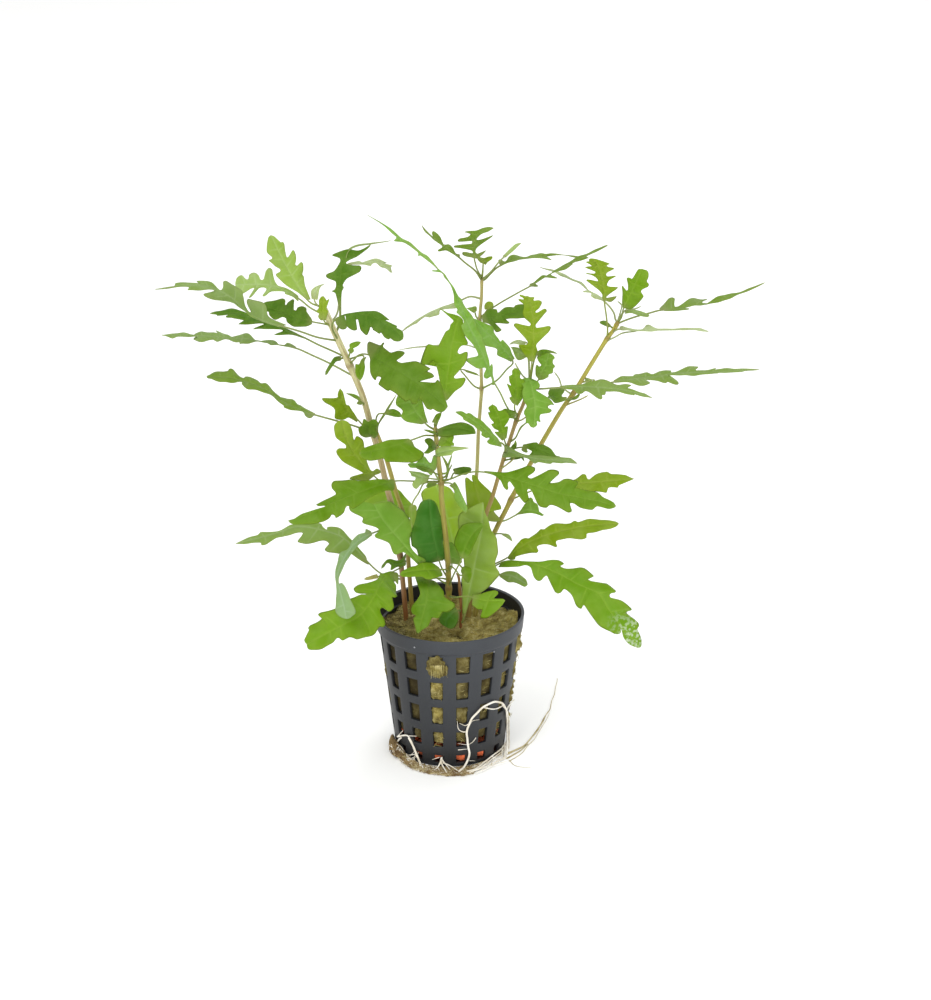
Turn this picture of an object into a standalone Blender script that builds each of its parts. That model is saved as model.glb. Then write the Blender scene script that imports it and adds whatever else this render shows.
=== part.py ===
"""Hygrophila pinnatifida, an aquarium plant, in the net pot that it is sold in.

Seven stems stand in a plug of rockwool, over clay pebbles, in a plastic pot with a lattice wall.
The leaves are deeply lobed. White roots have grown out through the lattice and lie around its foot.

The pot stands on z = 0 with its axis on the z axis, and its front faces -Y. Scene units are metres.
"""

import math
from collections import namedtuple

import bmesh
import bpy
import numpy as np
from mathutils import Vector, noise

MM = 0.001

# Pot, in millimetres
POT_HEIGHT = 52.0
POT_FOOT_RADIUS = 19.7
POT_FLARE = 0.12
POT_WALL = 1.0
FLOOR_SLOTS = (8.0, 14.5)
COLLAR_FROM = 46.3
COLLAR_STEP = 47.2
COLLAR_RADIUS = 26.2
RIM_RADIUS = 26.6
HOLE_COLUMNS = 16
HOLE_ROWS = [(1.6, 4.7), (8.3, 14.4), (17.8, 24.7), (27.9, 34.9), (38.3, 45.3)]
HOLE_HALF_ANGLE_LOW = 4.6
HOLE_HALF_ANGLE_HIGH = 5.9

# Filling, in millimetres
GAP = 0.3
ROCKWOOL_FROM = 8.8
ROCKWOOL_TOP = 46.5
ROCKWOOL_COLUMNS = 24
PEBBLE_HEIGHT = 0.87
# name, x, y and radius
PEBBLES = [
    ("pebble_left", -5.4, -13.8, 3.9),
    ("pebble_middle", 4.2, -14.3, 3.9),
    ("pebble_right", 12.3, -8.4, 4.0),
]

# Leaves and stems, in millimetres
PETIOLE_HALF_WIDTH = 0.7
LEAF_HALF_THICKNESS = 0.45
EDGE_LIFT = 0.15
LOBE_SWEEP = math.radians(35)
LONGEST_LOBE = 11.0
# How far a bay between two lobes lies towards the second, and how wide it is for their reach
BAY_AT = 0.6
BAY_WIDTH = 0.6
# The least shares of the midrib that part a lobe from a bay, and two corners
LEAST_BAY = 0.025
LEAST_STEP = 0.01
STEM_FOOT = ROCKWOOL_TOP + GAP
STEM_STEP = 7.0
NODE_SWELLING = 1.35

# The standpoint that the plant's places are read from. A place is given as it is seen from there, in
# millimetres across and up on a sheet that faces the viewer and passes through VIEW_AIM, and as its
# depth, which is y. SHEET_MIDDLE is where VIEW_AIM shows on the sheet.
VIEW_TILT = math.radians(21.4)
VIEW_DISTANCE = 850.0
VIEW_AIM = np.array((5.6, 0.0, 94.5))
SHEET_MIDDLE = np.array((5.6, 96.95))
LOOK = np.array((0.0, math.cos(VIEW_TILT), -math.sin(VIEW_TILT)))
LIFT = np.array((0.0, math.sin(VIEW_TILT), math.cos(VIEW_TILT)))
EYE = VIEW_AIM - VIEW_DISTANCE * LOOK
# The depths below come from what hides what. All of them are stretched by this, which makes the plant
# about half as deep as it is wide.
DEPTH_STRETCH = 1.6

BRIGHT = "7FAE2A"
GREEN = "659A26"
DARK = "527F20"
YELLOW_GREEN = "93B233"
PALE = "AAC670"
BLUE_GREEN = "81AF68"

# name: radius at the foot, radius at the top, places of the axis from the foot up, heights of the nodes
STEMS = {
    "stem_left": (0.8, 1.1, [
        (-15.2, 55.5, 5), (-16.3, 68, 4), (-17.4, 78, 3), (-19.8, 93, 2), (-21.7, 100.5, 1), (-24.4, 112, 0),
        (-27, 121, -1), (-30.3, 133, -2), (-34.8, 143.8, -3), (-39.5, 154, -4), (-44.4, 165, -5),
    ], (78, 103, 121, 144)),
    "stem_left_short": (0.75, 0.75, [
        (-13, 57, 9), (-14, 70, 9), (-15.6, 89, 8), (-18.8, 100, 7), (-22, 111, 6), (-25, 119, 5),
        (-26.6, 122.5, 4),
    ], (84,)),
    "stem_middle": (1.0, 0.75, [
        (0.5, 55, 1), (-0.2, 63, 1), (-0.4, 72, 0), (-1.1, 82, -2), (-2.2, 92, -4), (-2.8, 98, -5),
        (-3, 103, -6), (-3.8, 110, -8), (-4.6, 118, -10), (-5, 123, -11),
    ], (66, 103)),
    "stem_tall": (0.75, 0.5, [
        (4, 58, 8), (6, 75, 10), (8, 92, 13), (9.5, 106, 15), (10.1, 120, 17), (10.9, 131, 18),
        (11.2, 136, 19), (10.9, 148, 20), (10.6, 160, 21), (11.2, 168, 22), (11.3, 174.7, 23),
    ], (136, 160, 174)),
    "stem_right": (0.8, 0.6, [
        (6.5, 56.5, 3), (9, 78, 4), (12.5, 91, 4), (15, 98, 5), (18.5, 110, 5), (20.5, 116, 5),
        (23.4, 124.8, 6), (26, 131, 6), (28.2, 138.5, 7),
    ], (86, 113, 124.8)),
    "stem_far_right": (0.9, 0.7, [
        (9, 58, 9), (12, 75, 11), (15.5, 85, 12), (20, 94, 13), (23, 100, 14), (28.5, 110, 15),
        (33.5, 119, 16), (39.5, 129, 17), (43.5, 134.5, 18), (49, 143.5, 19), (55.2, 153.5, 20),
        (57.5, 156.5, 20), (59.2, 159.8, 20),
    ], (97, 134.5, 153.5, 159)),
    "stem_young": (0.8, 0.7, [
        (3.9, 54, -2), (4, 60, -2), (3.6, 66, -2), (3.2, 70, -2), (2.2, 71.5, -2),
    ], (66,)),
}

# A leaf: its stem and the height where it leaves it, the places of its midrib with their depth measured
# from there, half the width of the blade between the lobes, how far the upper side is turned from the
# viewer up to the sky in degrees (one number, or one for each end), the places of the lobes' tips and the
# colour.
Leaf = namedtuple("Leaf", "stem height midrib half turn lobes tone", defaults=[(), GREEN])

LEAVES = {
    "leaf_left_1": Leaf("stem_left", 164.5, [
        (-49.5, 167, 1), (-55, 176, 4), (-59.5, 184, 7), (-62.5, 189.5, 9),
    ], 3, 25, [
        (-64, 187.5), (-64, 184.4), (-63.4, 180.7), (-60.8, 176.5), (-58.3, 187.2), (-54.9, 183.9),
        (-52, 179.7), (-50.4, 175.3),
    ], BRIGHT),
    "leaf_left_2": Leaf("stem_left", 161, [
        (-50, 166.5, 3), (-58, 171, 4), (-66, 172.6, 3), (-73, 172, 1), (-79, 172.5, 0),
    ], 2, 30, [
        (-63.3, 178), (-68.5, 177), (-73, 175.5), (-78.8, 173.8), (-75.5, 170), (-70, 169.8),
        (-65, 168.7), (-58, 169),
    ], PALE),
    "leaf_left_3": Leaf("stem_left", 153, [
        (-46, 155.5, -4), (-54, 158, -8), (-64, 161.5, -12), (-72, 166, -16), (-80, 170.3, -19),
        (-91, 172, -22), (-103.5, 171, -25),
    ], 1.8, 35, [
        (-69.5, 167.5), (-78.5, 173.5), (-88.5, 173.8), (-96, 173.2), (-85.8, 169.2), (-91.5, 170.7),
    ]),
    "leaf_left_4": Leaf("stem_left", 147, [
        (-41, 149.5, 3), (-46, 152, 4), (-53, 155, 5), (-62, 158.3, 6), (-72, 161.3, 7), (-84, 162.4, 8),
    ], 1.5, 40, [
        (-61, 155.2), (-69, 156.9), (-74.3, 158.7), (-81.5, 161.5), (-76, 163.8),
    ], DARK),
    "leaf_left_5": Leaf("stem_left", 158, [
        (-47.5, 159.5, 4), (-56, 162, 8), (-65.5, 164.5, 12),
    ], 2.2, 10, [
        (-58, 167.5), (-54, 166.5), (-51, 164.5), (-63.5, 161.5), (-56.5, 158), (-50, 157.5),
    ], DARK),
    "leaf_left_6": Leaf("stem_left", 140.5, [
        (-41.5, 145, 3), (-50, 149, 6), (-58, 151.2, 9), (-70, 153.3, 12), (-80, 154.2, 14),
        (-90, 155, 16), (-101, 154.6, 18),
    ], 2.4, 78),
    "leaf_left_7": Leaf("stem_left", 155, [
        (-38.6, 160, 2), (-38.5, 166, 3), (-38.3, 172, 4), (-37.5, 178, 5), (-35.5, 182, 6),
        (-31, 185.5, 8), (-26, 187, 10), (-20, 188, 12),
    ], 1.3, 20, [
        (-42.8, 175.4), (-40.8, 183.2), (-41, 170.1), (-31.2, 178), (-37, 171.5), (-27.5, 186.5),
    ], DARK),
    "leaf_left_8": Leaf("stem_left", 159, [
        (-39.5, 163, 6), (-38.6, 172, 10), (-36, 179, 13), (-29, 180.7, 15), (-20, 177, 17),
    ], 1.2, 50, [(-27.5, 179.3), (-21.5, 180.5), (-24, 178.5)], BLUE_GREEN),
    "leaf_left_9": Leaf("stem_left", 152, [
        (-40.5, 157.5, -3), (-38, 161, -5), (-32, 162.6, -6), (-25, 161, -8), (-16.5, 154.8, -10),
    ], 2, 30, [
        (-37.5, 157), (-33, 156), (-29.3, 155.2), (-25, 154.8), (-21, 153.3), (-21, 160.8), (-18, 158.5),
    ], DARK),
    "leaf_left_10": Leaf("stem_left", 144.5, [
        (-33, 147.2, -3), (-30, 148.4, -4), (-26.5, 147.6, -6), (-20, 144.3, -10), (-12, 139.3, -14),
        (-6, 134, -17), (-1, 129.3, -19),
    ], 4, 15, [
        (-28.5, 151.8), (-22.5, 151.8), (-15.8, 149), (-9.5, 145.3), (-6.5, 143), (-5.5, 140.5),
        (-26, 139.3), (-25, 137.9), (-21, 135), (-18, 134.3), (-8, 129), (-3.5, 128),
    ], DARK),
    "leaf_left_11": Leaf("stem_left", 103, [
        (-27, 105.5, -6), (-31, 109.5, -9), (-35, 114.5, -11), (-37, 119, -12), (-38.5, 124, -13),
    ], 3.3, 20, [(-39.3, 113.5), (-40.3, 119), (-31.8, 118.8), (-28.8, 109.5)], YELLOW_GREEN),
    "leaf_left_12": Leaf("stem_left_short", 121.5, [
        (-30.5, 123.8, -1), (-34.5, 127.5, -2), (-37, 131, -4), (-38.3, 136.2, -6),
    ], 2, 20, [(-44.5, 132.2), (-41.8, 129.7), (-40, 125.5), (-34, 129.5), (-32.8, 126.5)], YELLOW_GREEN),
    "leaf_left_13": Leaf("stem_left", 121, [
        (-33, 122.5, -2), (-40, 125, -3), (-48, 127.7, -3), (-57, 131.7, -2), (-64, 135.3, 0),
        (-72, 138.6, 2), (-79, 140.2, 3), (-85, 140, 4),
    ], 1.6, 62, [(-49.5, 125.7), (-58, 129.3), (-72.5, 137), (-71, 140.5), (-77, 142)]),
    "leaf_left_14": Leaf("stem_left", 69, [
        (-21.5, 70.3, 3), (-26, 72, 5), (-31, 77.5, 6), (-38, 84, 7), (-46, 87.2, 8), (-55, 87.5, 9),
        (-65, 84, 10), (-75, 81.8, 11),
    ], 2.2, 35, [(-43.5, 79.3), (-53, 82.5), (-66, 81.3), (-42.5, 87.3), (-45.5, 89), (-35, 83.5)]),
    "leaf_left_15": Leaf("stem_left", 86, [
        (-22, 87.3, 0), (-26, 87, -1), (-32, 83, -5), (-37, 76, -10), (-39, 69, -18), (-38, 62, -25),
        (-36, 56.5, -30),
    ], 2, (110, 40), (), PALE),
    "leaf_left_16": Leaf("stem_left_short", 84, [
        (-18, 88, 3), (-23, 93.5, 5), (-27, 99, 6), (-28, 105, 7),
    ], 4.5, 20, [(-34.3, 93.5), (-33, 99), (-18, 100), (-20.5, 104)], BRIGHT),
    "leaf_left_17": Leaf("stem_left", 73, [
        (-19, 73, -6), (-22, 71, -9), (-26, 66, -16), (-31, 60.5, -20), (-38, 55, -22), (-49, 47.5, -22),
    ], 4.5, 10, [
        (-33.3, 66.2), (-46, 56.7), (-49.5, 52.3), (-18.2, 67.5), (-18.3, 63.5), (-20.5, 57.5),
        (-23, 52.3), (-27, 50), (-32, 48.3), (-37.2, 47.9), (-43, 46),
    ]),
    "leaf_middle_1": Leaf("stem_middle", 122.5, [
        (-3.5, 127, 1), (-1.8, 134, 2), (-0.8, 141, 3), (0.4, 149, 4), (1.5, 155, 5), (2.6, 161.3, 6),
    ], 3.5, 5, [(-7.2, 151.5), (-9.5, 147), (-2.5, 155.5), (6, 148.5), (5.5, 139.5)], BRIGHT),
    "leaf_middle_2": Leaf("stem_middle", 121.5, [
        (-8, 124.5, 0), (-11.5, 127.5, 0), (-15.5, 132, 1),
    ], 4, 20, [(-18.8, 130), (-9, 129.5), (-16, 126)], BRIGHT),
    "leaf_middle_3": Leaf("stem_middle", 119.5, [
        (-9, 119.4, -3), (-15, 117.6, -6), (-22, 115, -8), (-31, 112.5, -10),
    ], 2.8, 20, [(-12, 112), (-20, 110.2), (-28, 110.8)]),
    "leaf_middle_4": Leaf("stem_middle", 121, [
        (-1.5, 122.3, -2), (3, 123, -4), (9, 120.7, -6),
    ], 2, 20, (), DARK),
    "leaf_middle_5": Leaf("stem_middle", 103.3, [
        (-8, 103.5, -2), (-16, 103.8, -4), (-24, 103.2, -6), (-31, 101, -8), (-38, 98, -10),
        (-46, 94, -12), (-56.5, 89.5, -14),
    ], 3, 15, [
        (-41.5, 102.5), (-46.7, 95.6), (-33.5, 105.3), (-39.5, 91), (-45, 88.8), (-34.5, 93.2),
    ]),
    "leaf_middle_6": Leaf("stem_middle", 103.8, [
        (1, 104.8, -2), (6, 106.6, -4), (13, 106.9, -6), (20, 105.5, -8), (27, 102.7, -9), (36, 101, -11),
        (45, 99, -12), (58, 95.2, -14),
    ], 3, 15, [
        (29.5, 108.5), (38, 106.3), (43, 104.2), (19.8, 101), (26.5, 96.3), (33.7, 94.2), (42.2, 92.4),
        (50.5, 93.6), (57, 94.3),
    ]),
    "leaf_middle_7": Leaf("stem_middle", 67, [
        (-5.5, 70.5, -3), (-10.5, 75, -5), (-16, 81, -6), (-21, 87.5, -6), (-24.5, 93.5, -5),
    ], 4.5, 20, [(-30.5, 89), (-26.2, 84.5), (-20.3, 80), (-13.6, 92), (-13.5, 86)], BRIGHT),
    "leaf_middle_8": Leaf("stem_middle", 69, [
        (-3, 74, 3), (-5.5, 82, 4), (-7.3, 90, 4), (-8.3, 97, 3),
    ], 5.3, 20, (), DARK),
    "leaf_middle_9": Leaf("stem_middle", 66.5, [
        (1.5, 71, -6), (4, 77, -8), (6.5, 84, -8), (10.5, 89, -7),
    ], 3.5, 20, (), BRIGHT),
    "leaf_middle_10": Leaf("stem_middle", 71.5, [
        (-5, 73.2, -4), (-10, 73.3, -7), (-17, 71.6, -10),
    ], 2.3, 35, (), BRIGHT),
    "leaf_middle_11": Leaf("stem_middle", 64, [
        (-2, 65.5, -4), (-5.5, 62, -8), (-8.5, 56.5, -11), (-11, 50.5, -13),
    ], 4, 15, [(-13.3, 59), (-12.8, 55), (2, 60.3), (-2.5, 56)]),
    "leaf_middle_12": Leaf("stem_middle", 63.5, [
        (3, 63.3, -5), (8, 62.3, -7), (12.5, 61.5, -8), (19.3, 61.8, -8),
    ], 2, 20, [(16.8, 65.2), (11.3, 55.7), (8.5, 60)]),
    "leaf_tall_1": Leaf("stem_tall", 174, [
        (7.5, 178, -2), (3, 182, -4), (-1, 185.5, -5), (-5.5, 189, -7), (-10, 193.5, -8),
    ], 1.4, 45, [(-5.7, 191), (-3.3, 184.8)]),
    "leaf_tall_2": Leaf("stem_tall", 174.5, [
        (9.8, 179, -3), (8.6, 184, -5), (8.3, 188, -6), (8.3, 192, -7),
    ], 0.8, 20, [(0.8, 185.2), (3.3, 188), (7, 191), (15.5, 190), (15.3, 192.2), (12.5, 183.5)]),
    "leaf_tall_3": Leaf("stem_tall", 174, [
        (13.5, 176, 3), (17, 179, 5), (23, 181.6, 8), (31, 182.8, 11), (39, 183.2, 14), (48, 182, 17),
    ], 1.2, 60, [(25, 187), (27, 181.3), (35.5, 181.5)]),
    "leaf_tall_4": Leaf("stem_tall", 161, [
        (14, 163, 2), (20, 167, 4), (27, 171.4, 5), (37, 176.8, 6), (46, 182, 7), (55.5, 186.4, 8),
    ], 2.2, 80),
    "leaf_tall_5": Leaf("stem_tall", 167.5, [
        (6, 168, 2), (0, 166, 4), (-6, 163.2, 6), (-13, 158.8, 8), (-22.5, 151, 10),
    ], 2, 75, (), PALE),
    "leaf_tall_6": Leaf("stem_tall", 135.5, [
        (15.5, 138.3, -3), (20, 143, -6), (22.3, 146, -8), (19, 151, -11), (14, 156.5, -14),
        (8.5, 162, -17),
    ], 2.5, 35, [(12, 151.3), (15.5, 147), (19, 153), (20.5, 150.5)], BLUE_GREEN),
    "leaf_tall_7": Leaf("stem_tall", 157.5, [
        (13, 160.5, -3), (18, 162.3, -5), (24, 162.8, -7), (29, 163.7, -9),
    ], 2, 25, [(16.8, 163.5), (20.3, 159.3), (18.3, 156.3)], DARK),
    "leaf_tall_8": Leaf("stem_tall", 72, [
        (2.5, 76, 0), (1, 84, 0), (-0.5, 93, 0), (-2, 102.3, 0),
    ], 4.5, 20, [(-10, 99), (5.5, 96), (4, 90)], YELLOW_GREEN),
    "leaf_right_1": Leaf("stem_right", 138.5, [
        (28.7, 144, -1), (29, 150, -2), (29.5, 158, -2), (29, 163.5, -3), (27.4, 168.4, -4),
    ], 1.8, 10, [
        (22.7, 158.6), (24.3, 167.3), (25.3, 168.5), (35, 157.5), (34, 163), (32, 166.5),
    ], BRIGHT),
    "leaf_right_2": Leaf("stem_right", 137.5, [
        (30.5, 140, 3), (33, 144, 5), (35.5, 149, 7),
    ], 2.2, 30, [(36.5, 143.5), (36, 141), (30.5, 144), (33.5, 139)], BRIGHT),
    "leaf_right_3": Leaf("stem_right", 126, [
        (22.6, 130, -3), (22.8, 136, -4), (22.7, 143.3, -5),
    ], 1.8, 15, [(20.5, 140), (20.3, 137), (21, 133.5), (25, 141), (25.8, 136)], BRIGHT),
    "leaf_right_4": Leaf("stem_right", 138, [
        (28.2, 137, -3), (28.6, 133, -5), (29.3, 129, -6), (29.4, 125.5, -7), (29.2, 122.3, -8),
    ], 3.2, 15, [
        (25, 135.5), (25.6, 130.5), (26.5, 126), (27.3, 123.8), (36, 130.5), (35.7, 128), (31.8, 124.3),
    ], BLUE_GREEN),
    "leaf_right_5": Leaf("stem_right", 113.5, [
        (19.3, 116.5, -3), (18.6, 121, -4), (17.6, 126, -5), (15.3, 130.6, -5),
    ], 2.3, 15, [(13.5, 127.5), (14.3, 124), (16.2, 120.5), (20.5, 123), (20.2, 128.8)]),
    "leaf_right_6": Leaf("stem_right", 110.5, [
        (17, 115.8, -8), (14.2, 119.5, -12), (10.5, 123.5, -15), (6.5, 126.4, -17), (2.4, 128, -19),
    ], 1.7, 30, [(14.5, 116.5), (11.3, 119.5), (7, 127.8), (13, 122.8)], BLUE_GREEN),
    "leaf_right_7": Leaf("stem_right", 112.5, [
        (22.5, 113.8, -4), (28.5, 112.2, -6), (36, 111.3, -8), (44.8, 110.2, -10),
    ], 1.8, 20, [(26, 110.4), (31, 110.5), (36, 109.8), (38.5, 112.5), (33, 112.8)]),
    "leaf_right_8": Leaf("stem_right", 114, [
        (24.5, 115.5, 2), (30, 116, 4), (36.8, 112.8, 6),
    ], 2, 20, [(30.5, 117), (27, 114), (35.5, 114.5)], DARK),
    "leaf_right_9": Leaf("stem_right", 124.5, [
        (19, 131, -3), (15.3, 137.3, -6), (13, 143, -9), (10.5, 150, -12), (6.5, 158, -16),
        (3.5, 165, -19), (1, 171.5, -21), (-4, 177.5, -22), (-10, 183, -23), (-17, 188.2, -24),
        (-29, 197, -26),
    ], 4, (15, 85), [(7, 145.3), (-6, 177), (-11, 183), (-17, 188)], BLUE_GREEN),
    "leaf_right_10": Leaf("stem_right", 136, [
        (33, 136.4, -3), (42, 137, -6), (51, 137.3, -9), (60, 135.8, -12), (70.8, 132.8, -15),
    ], 2, 30, [(53.3, 133), (64, 133.7), (49.5, 140.5), (63, 136.8)], BLUE_GREEN),
    "leaf_right_11": Leaf("stem_right", 86, [
        (10.8, 91, 3), (10, 97, 4), (8, 105.5, 5),
    ], 4, 15, [(6, 104.7), (18.2, 94), (17.3, 90), (13.5, 101.5)], YELLOW_GREEN),
    "leaf_right_12": Leaf("stem_right", 66, [
        (13, 69.5, 2), (18, 71.3, 2), (23, 71, 2), (27.3, 68, 1),
    ], 1.7, 20, (), BLUE_GREEN),
    "leaf_far_1": Leaf("stem_far_right", 153.5, [
        (55, 159, -2), (55, 165, -3), (53.9, 171, -4), (53, 176, -5), (50.5, 181.3, -7),
    ], 1.6, 20, [
        (48, 173.8), (47.8, 176), (47.5, 178.3), (48.2, 180.2), (58.3, 168.3), (58.5, 171.7),
        (58.3, 175), (57.5, 177.8), (55.8, 179.7),
    ], YELLOW_GREEN),
    "leaf_far_2": Leaf("stem_far_right", 159.5, [
        (61.3, 165, -2), (64.2, 171, -3), (67.8, 177.8, -5),
    ], 3, 10, [
        (60.5, 171.5), (62.7, 175), (65.5, 176.5), (68.5, 168.3), (69.3, 172), (69.3, 176.5),
    ], YELLOW_GREEN),
    "leaf_far_3": Leaf("stem_far_right", 159.3, [
        (62, 161, 2), (67, 162.3, 3), (73, 163.5, 5), (81, 165, 7), (91, 166.8, 9), (100, 169.3, 11),
        (110.3, 173, 13),
    ], 1.3, 60, [(78.5, 167.5), (90, 167.8), (99.5, 169.5), (83.8, 163.3), (90, 165.3)]),
    "leaf_far_4": Leaf("stem_far_right", 153.8, [
        (59.5, 156, -2), (65, 156.4, -4), (74, 156.6, -7), (83, 156.9, -9), (90.5, 156, -11),
    ], 2.2, 80),
    "leaf_far_5": Leaf("stem_far_right", 159.5, [
        (57.6, 163, 3), (54.8, 167, 5), (49.5, 170.3, 7), (42, 174.4, 10), (33, 178, 13),
    ], 1.6, 75),
    "leaf_far_6": Leaf("stem_far_right", 134.5, [
        (50, 137, 3), (57, 138.3, 5), (64, 140, 7), (72, 140.8, 9), (82, 141.8, 11), (95, 142.3, 14),
        (108.6, 142.6, 17),
    ], 1.6, 50, [(69, 141.5), (78, 142.3), (87, 143.3), (93, 143), (70, 137.3), (80, 138.2)]),
    "leaf_far_7": Leaf("stem_far_right", 134, [
        (41, 134.5, -3), (38, 134, -5), (34.4, 132.3, -7),
    ], 1.8, 20, (), DARK),
    "leaf_far_8": Leaf("stem_far_right", 97, [
        (27, 99.5, 3), (33, 101.5, 4), (42, 102.8, 4), (52, 103.5, 4), (64.5, 104.4, 4),
    ], 2.5, 20, [(47, 105.7), (55, 107), (61, 105.7), (55, 99.6), (59, 101.5)], YELLOW_GREEN),
    "leaf_far_9": Leaf("stem_far_right", 89.5, [
        (21, 91.5, 2), (25, 93.2, 3), (29, 94.3, 3), (33, 92, 4),
    ], 1.2, 20, [(28.5, 98), (26.5, 96), (31.5, 96.5)]),
    "leaf_far_10": Leaf("stem_far_right", 72, [
        (16, 74.8, -2), (19.5, 76.5, -3), (24, 80, -4), (32, 84.3, -6), (41, 87.3, -8), (50, 88.8, -9),
        (59.2, 88.8, -11),
    ], 2.6, 25, [
        (31.3, 79), (37.3, 81), (47.8, 84), (26.5, 83.5), (32, 86.5), (37, 88.7), (44.5, 89.7), (50, 90.2),
    ], YELLOW_GREEN),
    "leaf_far_11": Leaf("stem_far_right", 70, [
        (14.5, 73, -5), (18, 75, -7), (25, 75.7, -9), (31, 74.6, -11), (38, 72, -13), (45, 68, -15),
        (50.5, 63.5, -17), (56, 58, -19), (62, 51.5, -20), (66.8, 45.5, -21),
    ], 3.2, 15, [
        (39.5, 75.3), (50.3, 70.6), (58, 65.1), (63.7, 58.8), (66.3, 53.1), (31.1, 69), (38, 64.3),
        (45.9, 59), (52, 54), (59.8, 50.5),
    ]),
    "leaf_young_1": Leaf("stem_young", 57, [
        (5.2, 60, -1), (7, 66, -1), (8.8, 74, -1), (10.3, 83, -1), (11, 92.5, -1),
    ], 5.8, 20, (), PALE),
    "leaf_young_2": Leaf("stem_young", 60, [
        (2, 58.5, -2), (0, 56.5, -3), (-2, 53, -4),
    ], 2.5, 20, (), DARK),
}

# Leaves seen on edge, whose lobes are known by their number and reach
EDGE_ON = {"leaf_left_6": (6, 6.0), "leaf_tall_4": (4, 5.0), "leaf_far_4": (4, 5.0)}

# Leaves too fine to part from their stem
JOINED = [
    "leaf_left_8", "leaf_middle_4", "leaf_middle_12", "leaf_tall_1", "leaf_tall_2", "leaf_tall_3",
    "leaf_tall_4", "leaf_tall_5", "leaf_tall_7", "leaf_right_2", "leaf_right_3", "leaf_right_8",
    "leaf_right_12", "leaf_far_4", "leaf_far_5", "leaf_far_7", "leaf_far_9", "leaf_young_2",
]

# Roots on the pot's wall: radius, and the places of the axis on the sheet
WALL_ROOTS = {
    "root_loop": (0.5, [
        (6.3, 7), (6.4, 11), (6.4, 16), (8.2, 20.9), (11.3, 24), (14.5, 25.9), (17.2, 26.2), (19.5, 24.6),
        (20.4, 21), (20.7, 15.5),
    ]),
    "root_left_loop": (0.45, [(-17.9, 13.6), (-16.4, 14.2), (-14, 13.2), (-12, 9.8), (-11, 8.2)]),
}
# The root that trails over the ground to the right: radius, and the places of the axis on the sheet
LONG_ROOT = (0.45, [(21.6, 9.2), (25.8, 10.2), (29.3, 14.7), (33.5, 20), (36.3, 27), (37.7, 34)])
# The felt of roots around the foot: angle from the front, distance of its outer edge from the axis, height
ROOT_MAT = [
    (-88, 22.0, 3.4), (-78, 23.2, 4.8), (-66, 24.6, 5.0), (-50, 25.8, 3.2), (-30, 26.8, 1.6),
    (-10, 27.6, 1.1), (8, 27.8, 1.1), (22, 25.5, 1.0), (40, 22.8, 1.0), (58, 22.2, 1.4), (72, 22.2, 2.0),
]
ROOT_STEP = 2.6
ROOT_MAT_SIDES = 8
ROOT_MAT_ROWS = 22


def unit(vectors):
    return vectors / np.linalg.norm(vectors, axis=-1, keepdims=True)


def seen(across, up, depth):
    """The point at this depth that shows at this place of the sheet."""
    ray = LOOK * VIEW_DISTANCE + LIFT * (up - SHEET_MIDDLE[1])
    ray[0] += across - SHEET_MIDDLE[0]
    return EYE + ray * (depth - EYE[1]) / ray[1]


def on_sheet(points):
    """The places of the sheet where these points show."""
    away = np.asarray(points) - EYE
    scale = VIEW_DISTANCE / (away @ LOOK)
    return np.stack([away[..., 0] * scale, away @ LIFT * scale], axis=-1) + SHEET_MIDDLE


def smooth_path(points, count):
    """count + 1 evenly spaced points on a smooth curve through the given ones."""
    points = np.asarray(points, float)
    ends = np.vstack([2 * points[0] - points[1], points, 2 * points[-1] - points[-2]])
    fine = []
    for before, start, end, after in zip(ends, ends[1:], ends[2:], ends[3:]):
        for s in np.linspace(0, 1, 16, endpoint=False):
            fine.append(0.5 * (2 * start + (end - before) * s
                               + (2 * before - 5 * start + 4 * end - after) * s ** 2
                               + (3 * start - before - 3 * end + after) * s ** 3))
    fine = np.array(fine + [points[-1]])
    travelled = np.concatenate([[0], np.cumsum(np.linalg.norm(np.diff(fine, axis=0), axis=1))])
    stops = np.linspace(0, travelled[-1], count + 1)
    return np.stack([np.interp(stops, travelled, axis) for axis in fine.T], axis=-1)


def length_of(path):
    return np.linalg.norm(np.diff(path, axis=0), axis=1).sum()


def pot_radius(z):
    return POT_FOOT_RADIUS + POT_FLARE * z


def linear(hex_colour):
    """A colour written as sRGB hex, as the linear RGBA that a shader takes."""
    parts = [int(hex_colour[i:i + 2], 16) / 255 for i in (0, 2, 4)]
    return [c / 12.92 if c <= 0.04045 else ((c + 0.055) / 1.055) ** 2.4 for c in parts] + [1]


def finish(obj, hex_colour, roughness):
    material = bpy.data.materials.new(obj.name + "_finish")
    material.use_nodes = True
    shader = material.node_tree.nodes["Principled BSDF"]
    shader.inputs["Base Color"].default_value = linear(hex_colour)
    shader.inputs["Roughness"].default_value = roughness
    shader.inputs["Metallic"].default_value = 0
    obj.data.materials.append(material)


def object_from(bm, name, collection):
    mesh = bpy.data.meshes.new(name)
    bm.to_mesh(mesh)
    bm.free()
    obj = bpy.data.objects.new(name, mesh)
    collection.objects.link(obj)
    return obj


def grid_over(bm, rows, columns, point_at):
    """A grid of quads whose corners lie at point_at(row, column), in millimetres."""
    made = bmesh.ops.create_grid(bm, x_segments=columns, y_segments=rows, size=1)
    for index, vert in enumerate(made["verts"]):
        row, column = divmod(index, columns + 1)
        vert.co = Vector(point_at(row, column)) * MM


def close_seams(bm):
    bmesh.ops.remove_doubles(bm, verts=bm.verts, dist=1e-6)
    bmesh.ops.dissolve_degenerate(bm, dist=1e-6, edges=bm.edges)


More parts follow.
